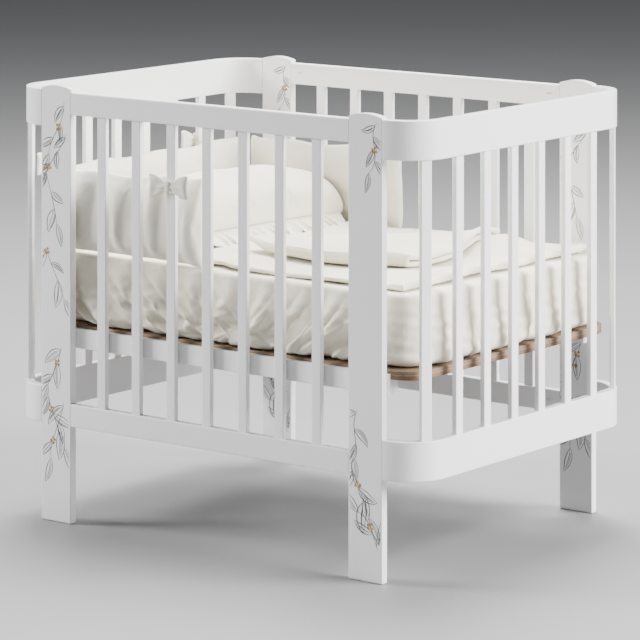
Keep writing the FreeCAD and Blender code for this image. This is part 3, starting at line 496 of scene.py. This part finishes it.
def drawn_folds(x, drop, seed, low, high, count, lean, width):
    """Gathers of a tight sheet: round ridges side by side, with a sharp valley where two meet.

    A ridge falls from its crest with the distance to the power 1.5. Its crest line leans by lean times
    a tilt of its own, and bends further over the lower it is. The result is the height of the highest
    ridge at each point, from 0 to 1."""
    random = np.random.default_rng(seed)
    total = np.zeros_like(x)
    places = np.linspace(low, high, count) + random.uniform(-0.32, 0.32, count) * (high - low) / count
    for place, size, thick, tilt in zip(places, random.uniform(0.55, 1.0, count),
                                        random.uniform(0.75, 1.35, count), random.uniform(0.5, 1.5, count)):
        slant = lean * tilt * (0.7 * drop + 0.6 * drop ** 2 / SHEET_SIDE)
        away = (x - place - slant) / (width * thick)
        total = np.maximum(total, size * (1 - np.abs(away) ** 1.5))
    return total


def add_fitted_sheet():
    """A thin sheet drawn over the mattress and under its edge.

    Its side is a smooth wall plus gathers: they lean one way at the left of the long side, the other
    way at its right, and less at the ends. They grow from nothing at the top edge."""
    half = (sheet_high - sheet_low) / 2
    grid, outline, normal, run, sides = cushion_rings(
        half[0], half[1], corner=0.063, low=sheet_low[2] + 0.0004, high=SHEET_TOP, edge=0.0105,
        count=1300, tuck=0.034, top_rings=12, side_rings=44)
    x = np.broadcast_to(outline[None, :, 0], grid.shape[:2])
    y = np.broadcast_to(outline[None, :, 1], grid.shape[:2])
    drop = SHEET_TOP - grid[..., 2]
    left = drawn_folds(x, drop, seed=3, low=-0.50, high=0.02, count=12, lean=0.85, width=0.030)
    right = drawn_folds(x, drop, seed=6, low=0.08, high=0.46, count=9, lean=-0.85, width=0.028)
    fine = np.maximum(
        drawn_folds(x, drop, seed=8, low=-0.50, high=0.0, count=30, lean=0.85, width=0.010),
        drawn_folds(x, drop, seed=9, low=0.1, high=0.46, count=22, lean=-0.9, width=0.010))
    ends = np.maximum(
        drawn_folds(y, drop, seed=17, low=-0.24, high=-0.02, count=5, lean=0.34, width=0.046),
        drawn_folds(y, drop, seed=14, low=0.02, high=0.36, count=7, lean=-0.40, width=0.044))
    end_fine = drawn_folds(y, drop, seed=15, low=-0.16, high=0.30, count=20, lean=-0.3, width=0.012)
    long_side = smoothstep(np.abs(normal[:, 1]), 0.85, 1.0)[None] * (1 - smoothstep(x, 0.34, 0.40))
    short_side = smoothstep(np.abs(normal[:, 0]), 0.7, 0.98)[None]
    growth = smoothstep(drop, -0.004, 0.06) * (0.55 + 0.45 * smoothstep(drop, 0.03, 0.115))
    fine_growth = smoothstep(drop, 0.03, 0.11)
    out = growth * long_side * (np.maximum(left, right) - FOLD_VALLEY) * FOLD_HEIGHT
    out += smoothstep(drop, 0.02, 0.12) * short_side * (ends - END_FOLD_VALLEY) * END_FOLD_HEIGHT
    out += fine_growth * (long_side * fine * FINE_FOLD_HEIGHT + short_side * end_fine * END_FINE_FOLD_HEIGHT)
    uneven = 1 + waves(run[None], drop * 2.5, seed=11, count=5, longest=0.09, shortest=0.03)
    out += smoothstep(drop, 0.004, 0.06) * UNEVENNESS * uneven
    out[sides:] = 0
    grid[..., :2] += normal[None] * np.clip(out, FURTHEST_IN, FURTHEST_OUT)[..., None]
    piece = make_piece("fitted_sheet_cloth", [(grid, grid_faces(*grid.shape[:2], False, True), 0)],
                       [SHEET_COTTON])
    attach(piece, "base")
    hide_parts("fitted_sheet")


add_mattress()
add_fitted_sheet()

# ---------------------------------------------------------------- blankets

lower_low, lower_high = (np.array(corner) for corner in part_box("blanket_lower"))
fold_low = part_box("blanket_folded")[0]
PEAK_HEIGHT = 0.030
PEAK_X = 0.318
PEAK_Y = 0.135
LOWER_HALF_THICKNESS = 0.0043
QUILT_EDGE = 0.006
LOWER_BINDING = 0.013
FOLDED_BINDING = 0.012
GROOVE_WIDTH = 0.0022
FOLDED_CORNERS = np.array([[-0.060, -0.132], [0.298, -0.126], [0.098, 0.062], [0.262, 0.214]])
BEND_SHARE = 0.02


def hump(x, y):
    """How far the bedding is pushed up at a point, in a soft peak near its right back corner."""
    return PEAK_HEIGHT * np.exp(-((x - PEAK_X) / 0.048) ** 2 - np.abs((y - PEAK_Y) / 0.085) ** 2.5)


def add_lower_blanket():
    """A thin quilt laid flat, with a soft peak and a bound edge.

    It is thicker towards its right end, where its binding has faint ribs. Its half thickness is a
    quarter-round at the rim, with a groove where the binding is sewn."""
    count = 180
    u, v = np.meshgrid(spread(count), spread(count), indexing="ij")
    along = lower_low[0] + (lower_high[0] - lower_low[0]) * (u + 1) / 2
    right = along - 0.012 * smoothstep(u, 0.5, 1) * (1 - 0.6 * v)
    right += 0.003 * np.sin(v * 9) * smoothstep(u, 0.8, 1)
    half_y = 0.269 + 0.014 * smoothstep(along, -0.025, 0.02) + 0.002 * np.sin(along * 31)
    across = v * half_y
    rim = np.minimum(np.minimum(along - lower_low[0], lower_high[0] - along), half_y * (1 - np.abs(v)))
    groove = np.exp(-((rim - LOWER_BINDING) / GROOVE_WIDTH) ** 2)
    full = 1 + 0.55 * smoothstep(u, 0.80, 0.93)
    ribs = 1 + 0.07 * np.sin(across * 330 + 2 * np.sin(across * 40)) * smoothstep(u, 0.90, 0.97)
    half = LOWER_HALF_THICKNESS * rim_fade(rim, QUILT_EDGE) * (1 - 0.42 * groove) * full * ribs
    uneven = 1 + waves(right, across, seed=21, count=6, longest=0.35, shortest=0.07)
    rise = 0.0016 * uneven * smoothstep(rim, 0.004, 0.05)
    lift = 0.0020 * (1 - smoothstep(rim, 0.0, 0.03)) * (1 + np.sin(right * 23 + across * 17))
    lift += 0.0034 * smoothstep(u, 0.80, 0.93)
    middle = np.stack([right, across, lower_low[2] + 0.0047 + rise + lift + hump(right, across)], -1)
    piece = make_piece("blanket_lower_quilt", shell(middle, half), [BLANKET_COTTON])
    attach(piece, "blanket")
    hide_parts("blanket_lower")


def add_folded_blanket():
    """A quilt folded over, with its fold to the front: the middle of its cloth runs forwards along the
    bottom, round a soft bend, and back on top. Its plan is bilinear between four corners, with bowed
    sides. At the left tip the bottom layer rises to the top one, and the front left stands a little
    higher."""
    layer, bend, turns, count = 0.0106, 0.0057, 15, 90
    turn = np.linspace(-math.pi / 2, math.pi / 2, turns + 2)[1:-1]
    run = np.concatenate([(spread(count)[::-1] / 2 + 0.5) * (1 - BEND_SHARE) + BEND_SHARE,
                          BEND_SHARE * (1 - np.cos(turn)), spread(count) / 2 + 0.5])
    upper = np.concatenate([np.zeros(count), (1 + np.sin(turn)) / 2, np.ones(count)])[:, None]
    free = np.concatenate([1 - spread(count)[::-1], np.full(turns, 1.0), 1 - spread(count)])[:, None] * 0.18
    r, a = np.meshgrid(run, spread(130) / 2 + 0.5, indexing="ij")
    front_left, front_right, back_left, back_right = FOLDED_CORNERS
    plan = ((1 - r) * (1 - a))[..., None] * front_left + ((1 - r) * a)[..., None] * front_right
    plan += (r * (1 - a))[..., None] * back_left + (r * a)[..., None] * back_right
    front = (1 - r) ** 1.5
    plan[..., 1] -= 0.052 * np.sin(math.pi * a ** 0.85) * front + 0.003 * np.sin(a * 13) * front
    plan[..., 0] += 0.024 * np.sin(math.pi * r ** 0.8) * a + 0.007 * upper * a + 0.003 * np.sin(r * 11) * a
    rim = np.minimum(free, np.minimum(a, 1 - a) * 0.38)
    groove = np.exp(-((rim - FOLDED_BINDING) / GROOVE_WIDTH) ** 2)
    half = layer / 2 * rim_fade(rim, QUILT_EDGE) * (1 - 0.32 * groove)
    tip = (1 - smoothstep(a, 0.0, 0.2)) * (1 - smoothstep(r, 0.25, 0.9))
    raised = 0.006 * smoothstep(a, 0.75, 0.1) * (1 - smoothstep(r, 0.1, 0.7))
    level = 2 * bend * (upper + (1 - upper) * tip) + raised * (1 - 0.6 * upper)
    uneven = 1 + waves(plan[..., 0], plan[..., 1], seed=31, count=6, longest=0.3, shortest=0.06)
    soft = 0.0014 * uneven * (0.2 + upper)
    lifted = hump(plan[..., 0], plan[..., 1]) + 0.0032
    middle = np.concatenate([plan, (fold_low[2] + layer / 2 + level + soft + lifted)[..., None]], -1)
    piece = make_piece("blanket_folded_quilt", shell(middle, half), [BLANKET_COTTON])
    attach(piece, "folded_blanket")
    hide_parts("blanket_folded")


add_lower_blanket()
add_folded_blanket()

# ---------------------------------------------------------------- pillow and flounce

pillow_low, pillow_high = (np.array(corner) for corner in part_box("pillow"))
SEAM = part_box("pillow_flounce")[0][2] + 0.004
PILLOW_GROWTH = np.array([0.016, 0.036, 0.002])
PRESSED_PAST = 0.0055
FLOUNCE_NARROW = 0.010
FLOUNCE_WIDENING = 0.029
PLEATS = 47
PLEAT_RISE = 0.0058
PLEAT_SWAY = 0.0038


def add_pillow():
    """A full pillow: crowned above its seam and flatter below, flat only where it lies on the sheet.

    Before it is puffed up, its height above the seam goes as the root of (1 - |u| to 3)(1 - |v| to 8),
    a little uneven. Its plan has bowed sides and is skewed a little at the right."""
    count = 74
    u, v = np.meshgrid(spread(count), spread(count), indexing="ij")
    centre, half = (pillow_low + pillow_high) / 2, (pillow_high - pillow_low) / 2
    x = centre[0] + half[0] * u * np.sqrt(1 - 0.05 * v ** 2) + 0.016 * v * (1 + u) / 2
    y = centre[1] + half[1] * v * np.sqrt(1 - 0.05 * u ** 2)
    crown = np.sqrt((1 - np.abs(u) ** 3) * (1 - np.abs(v) ** 8))
    uneven = 1 + 0.03 * waves(x, y, seed=51, count=5, longest=0.3, shortest=0.08)
    top = SEAM + (pillow_high[2] - SEAM) * crown * uneven
    under = SEAM - (SEAM - pillow_low[2]) * np.minimum(crown * 1.7, 1)
    faces = grid_faces(count, count)
    piece = make_piece("pillow_cushion", [(np.stack([x, y, top], -1), faces, 0),
                                          (np.stack([x, y, under], -1), faces, 0)], [PILLOW_COTTON])
    puff(piece, voxel=0.005, pressure=4.0, most=0.010)

    def pressed(points):
        """Its back end lies flat against the bumper."""
        points[:, 1] = np.minimum(points[:, 1], pillow_high[1] + PRESSED_PAST)
        return points

    settle(piece, pillow_low + 0.0005, pillow_high + PILLOW_GROWTH, pressed)
    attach(piece, "pillow")
    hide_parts("pillow")


def add_flounce():
    """The gathered strip sewn into the pillow's seam: pleats that open outwards.

    At a share t of its width it lies about t times the width out, drops as t to 1.2, and swings up and
    down as t to 0.9 by a wave of uneven pleats along the seam. Where bumpers press on it, it is narrow
    and stands up. Its plan is skewed with the pillow's."""
    count, rows = 1600, 14
    centre, half = (pillow_low + pillow_high) / 2, (pillow_high - pillow_low) / 2
    outline, normal, run = ring_path(half[0] - 0.004, half[1] - 0.004, 0.050, count)
    share = np.linspace(0, 1, rows)[:, None]
    random = np.random.default_rng(41)
    total = run[-1] + run[1]
    phase = 2 * math.pi * (PLEATS * run / total + 0.45 * np.sin(2 * math.pi * 7 * run / total)
                           + 0.22 * np.sin(2 * math.pi * 17 * run / total + 1))
    knots = random.uniform(0.45, 1.0, 48)
    size = np.interp(run, np.linspace(0, total, 49), np.append(knots, knots[0]))
    open_side = smoothstep(normal[:, 0] - normal[:, 1], -0.7, 0.7)[None]
    swing = size * np.sin(phase + 0.7 * np.sin(phase)) * (0.25 + 0.75 * open_side)
    widest = FLOUNCE_NARROW + FLOUNCE_WIDENING * open_side
    reach = widest * share * (1 + 0.05 * share * np.sin(phase * 0.5))
    drop = 0.020 * share ** 1.2 * open_side - 0.026 * share * (1 - open_side)
    z = SEAM - drop + PLEAT_RISE * share ** 0.9 * swing
    sideways = PLEAT_SWAY * share * np.cos(phase)
    tangent = np.stack([-normal[:, 1], normal[:, 0]], -1)
    plan = outline[None] + normal[None] * reach[..., None] + tangent[None] * sideways[..., None] + centre[:2]
    skew = 0.014 * (plan[..., 1] - centre[1]) / half[1]
    plan[..., 0] += skew * smoothstep(plan[..., 0], centre[0], centre[0] + half[0])
    grid = np.concatenate([plan, np.maximum(z, pillow_low[2] + 0.0012)[..., None]], -1)
    piece = make_piece("pillow_flounce_cloth", [(grid, grid_faces(rows, count, False, True), 0)],
                       [PILLOW_COTTON])
    wall = piece.modifiers.new("cloth", "SOLIDIFY")
    wall.thickness, wall.offset = 0.0009, 0
    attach(piece, "pillow")
    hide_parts("pillow_flounce")


add_pillow()
add_flounce()

# ---------------------------------------------------------------- bumpers

side_slat = [(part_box(f"slat_front_{number}")[0][0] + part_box(f"slat_front_{number}")[1][0]) / 2
             for number in (1, 2)]
SIDE_PITCH = abs(side_slat[1] - side_slat[0])
SIDE_FIRST = min(side_slat)
# between the end slats, which are one node and so have no boxes of their own
END_PITCH = 0.0861
BUMPER_ROW = 0.0035
BULGE = 0.006
PINCH_HIGH_UP = 0.0020
PINCH_DEEPENING = 0.0110
PINCH_WIDTH = 0.012


def add_bumper(node, name, along, lean_end):
    """A cushion on edge that swells between the slats it is tied to.

    Its half depth goes as the root of (1 - |u| to 14)(1 - |v| to 4). Its outer face bulges out low
    down and is drawn in along each slat, wider and deeper towards its lower edge: the draw is exp of
    less the distance to the power 1.3."""
    low, high = (np.array(corner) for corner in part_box(node))
    centre, half = (low + high) / 2, (high - low) / 2
    across = 1 - along
    length = half[along]
    rows, columns = max(60, int(length / BUMPER_ROW)), 48
    u, v = np.meshgrid(spread(rows), spread(columns), indexing="ij")
    outward = 1.0 if centre[across] > 0 else -1.0
    swell = np.sqrt((1 - np.abs(u) ** 14) * (1 - np.abs(v) ** 4))
    s = centre[along] + length * u * (1 - 0.010 * (1 - v ** 2))
    if along == 0:
        step = (s - SIDE_FIRST) / SIDE_PITCH
        pitch = SIDE_PITCH
    else:
        step = s / END_PITCH - 0.5
        pitch = END_PITCH
    away = np.abs(step - np.round(step)) * pitch
    lower = smoothstep(-v, -0.3, 1.0)
    wander = 0.012 * waves(np.round(step), v * 0.05, seed=60, count=3, longest=2.0, shortest=0.1)
    wide = PINCH_WIDTH + PINCH_WIDTH * lower
    deep = PINCH_HIGH_UP + PINCH_DEEPENING * lower
    pinch = deep * np.exp(-np.abs((away + wander * lower) / wide) ** 1.3)
    pinch *= 1 - smoothstep(v, 0.3, 0.95)
    ripple = 0.0012 * waves(s * 2.2, v * 0.05, seed=61, count=5, longest=0.12, shortest=0.03)
    ripple -= 0.006 * (1 - lower) * smoothstep(v, 0, 1)
    outer = centre[across] + outward * (half[across] + BULGE * lower + ripple - pinch) * swell
    inner = centre[across] - outward * (half[across] - 0.001) * swell
    inner += outward * 0.0018 * waves(s, v * 0.12, seed=63, count=5, longest=0.3, shortest=0.07) * swell
    z = centre[2] + half[2] * v * (1 - 0.015 * (1 - u ** 2))
    z = z + 0.0022 * np.sin(s * 37) * smoothstep(v, 0.2, 1)
    faces = grid_faces(rows, columns)
    grids = []
    for face in (outer, inner):
        grid = np.empty((rows, columns, 3))
        grid[..., along], grid[..., across], grid[..., 2] = s, face, z
        grids.append((grid, faces, 0))
    piece = make_piece(name, grids, [BUMPER_COTTON])
    puff(piece, voxel=0.005, pressure=3.0, most=0.006)

    def lean(points):
        """Its right end stands a little higher than the rest."""
        share = (points[:, 0] - low[0]) / (high[0] - low[0])
        upper = smoothstep(points[:, 2], centre[2], high[2])
        points[:, 2] += lean_end * smoothstep(share, 0.3, 1.0) * upper
        return points

    least, greatest = low + np.array([0, 0, 0.0004]), high.copy()
    (greatest if outward > 0 else least)[across] += outward * 0.004
    settle(piece, least, greatest, lean)
    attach(piece, "base")
    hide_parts(node)


add_bumper("bumper_front", "bumper_front_cushion", 0, 0.008)
add_bumper("bumper_back", "bumper_back_cushion", 0, 0.006)
add_bumper("bumper_left", "bumper_left_cushion", 1, 0.0)

# ---------------------------------------------------------------- bows

STRAP_DEPTH = 0.0020
STRAP_GAP = 0.0011
STRAP_HALF_HEIGHT = 0.0052
KNOT_STANDOFF = 0.0050
KNOT_HALF_SIZE = (0.0062, 0.0056, 0.0122)
WING_START = 0.004
WING_LENGTH = 0.040


def bow_parts(slat_low, slat_high, face_axis, outwards, z):
    """A bow and its strap round one slat, as parts.

    A wing's half height runs from the knot to the tip by a smooth step, its half depth is the root of
    (1 - v squared) times a bulge, and creases fan out from the knot. The strap is a flat ring."""
    centre, half = (slat_low + slat_high) / 2, (slat_high - slat_low) / 2
    side_axis = 1 - face_axis
    face = centre[face_axis] + outwards * (half[face_axis] + STRAP_DEPTH + KNOT_STANDOFF)
    rows, columns = 26, 22
    parts = []

    def placed(side, out, up):
        """Points so far to the side of the slat, out from its face and up from the knot."""
        grid = np.empty((*side.shape, 3))
        grid[..., side_axis] = centre[side_axis] + side
        grid[..., face_axis] = face + outwards * out
        grid[..., 2] = z + up
        return grid

    t, v = np.meshgrid((spread(rows) + 1) / 2, spread(columns), indexing="ij")
    for way in (-1, 1):
        tall = 0.0085 + 0.0135 * smoothstep(t, -0.1, 0.9) - 0.001 * smoothstep(t, 0.85, 1)
        depth = 0.0046 * np.sqrt(np.maximum(1 - v ** 2, 0)) * rim_fade(1 - t, 0.18) * (0.55 + 0.45 * t)
        crease = 0.0011 * np.cos(v * 8 + 0.6) * (1 - t) + 0.0006 * np.sin(t * 9 + v * 3)
        side = way * (WING_START + WING_LENGTH * t * (1 + 0.06 * np.abs(v) ** 2 * t))
        up = tall * v + way * 0.0012 * t
        middle = crease * np.sqrt(np.maximum(1 - v ** 2, 0))
        middle = middle * (1 - rim_fade(0.05 - t, 0.05)) * rim_fade(1 - t, 0.1)
        faces = grid_faces(rows, columns)
        parts += [(placed(side, middle + depth, up), faces, 0), (placed(side, middle - depth, up), faces, 0)]
    turn, rise = np.meshgrid(np.linspace(0, 2 * math.pi, 24, endpoint=False), spread(14) * math.pi / 2,
                             indexing="ij")

    def rounded(value, power=0.6):
        """The value to that power, with its sign kept."""
        return np.sign(value) * np.abs(value) ** power

    girth = np.cos(rise) ** 0.45
    broad, deep, tall = KNOT_HALF_SIZE
    knot = placed(broad * rounded(np.cos(turn)) * girth, deep * rounded(np.sin(turn)) * girth,
                  tall * rounded(np.sin(rise), 0.8))
    parts.append((knot, grid_faces(24, 14, True), 0))
    ring, out, _ = ring_path(half[side_axis] + STRAP_GAP, half[face_axis] + STRAP_GAP, 0.002, 48)
    corner = np.array([(-0.0004, -STRAP_HALF_HEIGHT), (0.0006, -STRAP_HALF_HEIGHT),
                       (0.0006, STRAP_HALF_HEIGHT), (-0.0004, STRAP_HALF_HEIGHT)])
    strap = np.empty((48, 4, 3))
    strap[..., side_axis] = centre[side_axis] + ring[:, None, 0] + out[:, None, 0] * corner[None, :, 0]
    strap[..., face_axis] = centre[face_axis] + ring[:, None, 1] + out[:, None, 1] * corner[None, :, 0]
    strap[..., 2] = z + corner[None, :, 1]
    parts.append((strap, grid_faces(48, 4, True, True), 0))
    return parts


def add_bow(name, node, parts):
    """A piece that stands for the node, made of the parts of one or more bows."""
    piece = make_piece(name, parts, [BUMPER_COTTON], weld=1e-6)
    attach(piece, "base")
    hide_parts(node)


def tie_height(node):
    """The middle height of the node's box."""
    low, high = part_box(node)
    return (low[2] + high[2]) / 2


for side, outwards in (("front", -1), ("back", 1)):
    slat_box = [np.array(corner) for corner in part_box(f"slat_{side}_3")]
    add_bow(f"bow_{side}", f"tie_{side}", bow_parts(*slat_box, 1, outwards, tie_height(f"tie_{side}")))
END_SLAT_DEPTH = 0.010
END_SLAT_HALF_WIDTH = 0.0105
end_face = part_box("end_slats_left")[0][0]
left_parts = []
for side in (-1, 1):
    middle_y = side * END_PITCH * 2.5
    low = np.array([end_face, middle_y - END_SLAT_HALF_WIDTH, 0])
    high = np.array([end_face + END_SLAT_DEPTH, middle_y + END_SLAT_HALF_WIDTH, 1])
    left_parts += bow_parts(low, high, 0, -1, tie_height("ties_left"))
add_bow("bows_left", "ties_left", left_parts)

# ---------------------------------------------------------------- printed sprigs on the posts

STEM_LINE = 0.0013
THIN_LINE = 0.0013
THICK_LINE = 0.0019
RIB_LINE = 0.0012
SHADE_LINE = 0.0010
BERRY_RADIUS = 0.0030
BERRY_SPREAD = 0.0048
INK_PROUD = 0.00012
BERRY_PROUD = 0.00008
POST_EDGE = 0.0025
BERRY_EDGE = 0.005
MILLIMETRES = 1000.0


def stroke(points, width):
    """A pen line: a ribbon along the points, widest in its middle, as points and quads."""
    points = np.asarray(points, float)
    step = np.gradient(points, axis=0)
    step /= np.maximum(np.linalg.norm(step, axis=1, keepdims=True), TINY)
    side = np.stack([-step[:, 1], step[:, 0]], -1)
    along = np.linspace(0, 1, len(points))[:, None]
    half = width / 2 * (0.35 + 0.65 * np.sin(math.pi * along) ** 0.6)
    return np.stack([points - side * half, points + side * half], 1), grid_faces(len(points), 2)


def curve_through(start, end, sag, count=14):
    """A shallow arc between two points: the straight run plus sag times 4 t (1 - t) to its left."""
    start, end = np.asarray(start, float), np.asarray(end, float)
    t = np.linspace(0, 1, count)[:, None]
    left = np.array([-(end - start)[1], (end - start)[0]])
    return start + (end - start) * t + left * sag * 4 * t * (1 - t)


def leaf_strokes(foot, angle, length, plump, bend, shade):
    """A leaf in outline: two bowed edges that meet at a point, a midrib and a few shading lines."""
    tip = foot + length * np.array([math.cos(angle), math.sin(angle)])
    middle = curve_through(foot, tip, bend, 18)
    t = np.linspace(0, 1, 18)[:, None]
    step = np.gradient(middle, axis=0)
    step_length = np.maximum(np.linalg.norm(step, axis=1, keepdims=True), TINY)
    side = np.stack([-step[:, 1], step[:, 0]], -1) / step_length
    swell = length * plump * np.sin(math.pi * t ** 0.85) ** 0.9
    lines = [(middle + side * swell, THIN_LINE), (middle - side * swell, THICK_LINE),
             (middle[1:-2], RIB_LINE)]
    for part in shade:
        lines.append((middle[3:15] + side[3:15] * swell[3:15] * part, SHADE_LINE))
    return lines


def sprig_strokes(stem, seed, leaf, berries):
    """A stem with leaves by turns to its left and right, and the places of its berries."""
    random = np.random.default_rng(seed)
    stem = np.asarray(stem, float)
    knots = np.linspace(0, 1, len(stem))
    t = np.linspace(0, 1, 60)
    degree = min(3, len(stem) - 1)
    smooth = np.stack([np.polyval(np.polyfit(knots, stem[:, k], degree), t) for k in (0, 1)], -1)
    lines = [(smooth, STEM_LINE)]
    count = max(3, int(np.linalg.norm(np.diff(smooth, axis=0), axis=1).sum() / (leaf * 0.62)))
    for number in range(count):
        at = int(4 + 55 * number / count)
        ahead = smooth[min(at + 3, 59)] - smooth[max(at - 3, 0)]
        heading = math.atan2(ahead[1], ahead[0])
        angle = heading + (1 if number % 2 else -1) * random.uniform(0.45, 0.8)
        lines += leaf_strokes(smooth[at], angle, leaf * random.uniform(0.75, 1.15),
                              random.uniform(0.13, 0.19), random.uniform(-0.12, 0.12),
                              random.uniform(-0.8, 0.8, 2))
    lines += leaf_strokes(smooth[-1], heading, leaf, plump=0.15, bend=0.05, shade=(0.4,))
    spots = []
    for share in berries:
        centre = smooth[int(share * 59)]
        for turn in np.arange(4) * 1.7 + random.uniform(0, 6):
            spots.append(centre + BERRY_SPREAD * np.array([math.cos(turn), math.sin(turn)]))
    return lines, spots


def add_sprigs(name, post, sprigs):
    """The drawings on the front face of a post, a film of ink just proud of the lacquer."""
    low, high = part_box(post)
    middle = (low[0] + high[0]) / 2
    face_y = low[1] - INK_PROUD
    parts = []

    def on_face(flat):
        """Points on the post's face from their x and z."""
        flat = flat.reshape(-1, 2)
        return np.stack([flat[:, 0], np.full(len(flat), face_y), flat[:, 1]], -1)

    for stem, seed, leaf, berries in sprigs:
        placed = np.asarray(stem) / MILLIMETRES + np.array([middle, 0])
        lines, spots = sprig_strokes(placed, seed, leaf, berries)
        for points, width in lines:
            inside = (points[:, 0] > low[0] + POST_EDGE) & (points[:, 0] < high[0] - POST_EDGE)
            if inside.sum() < 4:
                continue
            cut = np.flatnonzero(~inside)
            points = points[:cut[0]] if len(cut) and cut[0] > 3 else points[inside]
            ribbon, quads = stroke(points, width)
            parts.append((on_face(ribbon), quads, 0))
        around = np.linspace(0, 2 * math.pi, 9)[:-1]
        for spot in spots:
            spot[0] = np.clip(spot[0], low[0] + BERRY_EDGE, high[0] - BERRY_EDGE)
            circle = np.stack([np.cos(around), np.sin(around)], -1)
            rings = np.array([0.0, BERRY_RADIUS])[:, None, None] * circle[None]
            berry = on_face(spot + rings)
            berry[:, 1] -= BERRY_PROUD
            parts.append((berry, grid_faces(2, 8, False, True), 1))
    piece = make_piece(name, parts, [INK, BERRY], weld=1e-7, smooth=False)
    film = piece.modifiers.new("film", "SOLIDIFY")
    film.thickness, film.offset = 0.0001, 0
    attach(piece, "frame")


# stems as (x from the post's middle line, z) in millimetres, with the seed, leaf length and berry places
TALL_SPRIGS = [
    ([(20, 790), (12, 752), (-6, 722), (-18, 690)], 2, 0.044, (0.45,)),
    ([(26, 730), (8, 700), (-14, 672), (-24, 652)], 3, 0.042, (0.75,)),
    ([(-26, 660), (-14, 622), (-4, 588), (2, 560)], 4, 0.044, ()),
    ([(-24, 512), (-14, 488), (4, 455), (20, 420)], 5, 0.046, (0.1,)),
    ([(14, 330), (4, 300), (-8, 276), (-20, 256)], 7, 0.044, (0.35,)),
    ([(-20, 240), (-8, 205), (8, 172), (20, 140)], 9, 0.050, (0.3,)),
    ([(20, 226), (8, 190), (-8, 150), (-12, 118)], 12, 0.048, (0.65,))]
SHORT_SPRIGS = [
    ([(26, 806), (18, 776), (22, 746), (8, 716)], 14, 0.036, (0.55,)),
    ([(-16, 300), (-24, 268), (-20, 240), (-26, 214)], 15, 0.046, ()),
    ([(-28, 196), (-16, 168), (-2, 140), (10, 112)], 17, 0.048, (0.35,)),
    ([(28, 60), (18, 84), (6, 106), (-14, 120)], 19, 0.046, (0.55,))]
add_sprigs("sprigs_front_left", "post_front_left", TALL_SPRIGS)
add_sprigs("sprigs_front_right", "post_front_right", SHORT_SPRIGS)
add_sprigs("sprigs_back_left", "post_back_left", SHORT_SPRIGS)
add_sprigs("sprigs_back_right", "post_back_right", TALL_SPRIGS)

# ---------------------------------------------------------------- floor and lights


def add_floor():
    """One wide square at the crib's feet, for the stage only."""
    size = 40.0
    corners = np.array([[-size, -size], [size, -size], [size, size], [-size, size]])
    grid = np.concatenate([corners, np.zeros((4, 1))], 1)
    floor = make_piece("floor", [(grid, np.array([[0, 1, 2, 3]]), 0)], [studio_floor()], smooth=False)
    if floor.data.polygons[0].normal.z < 0:
        floor.data.flip_normals()


def add_light(name, place, aim, size, power, colour=(1, 1, 1)):
    """A square soft box that faces its aim."""
    light = bpy.data.lights.new(name, "AREA")
    light.energy, light.size, light.color = power, size, colour
    lamp = bpy.data.objects.new(name, light)
    lamp.location = place
    lamp.rotation_mode = "QUATERNION"
    lamp.rotation_quaternion = (Vector(aim) - Vector(place)).to_track_quat("-Z", "Y")
    bpy.context.scene.collection.objects.link(lamp)


add_floor()
add_light("soft_box_above", (-1.2, 1.6, 4.4), (0, 0, 0.2), 2.6, 760)
add_light("soft_box_right", (5.0, 1.4, 3.0), (0.3, 0, 0.5), 3.4, 1250)
add_light("soft_box_front", (-5.4, -3.0, 3.4), (0, 0, 0.4), 2.2, 860)
world = bpy.data.worlds.new("studio")
world.use_nodes = True
world.node_tree.nodes["Background"].inputs["Color"].default_value = (0.93, 0.95, 1.0, 1)
world.node_tree.nodes["Background"].inputs["Strength"].default_value = 0.2
bpy.context.scene.world = world
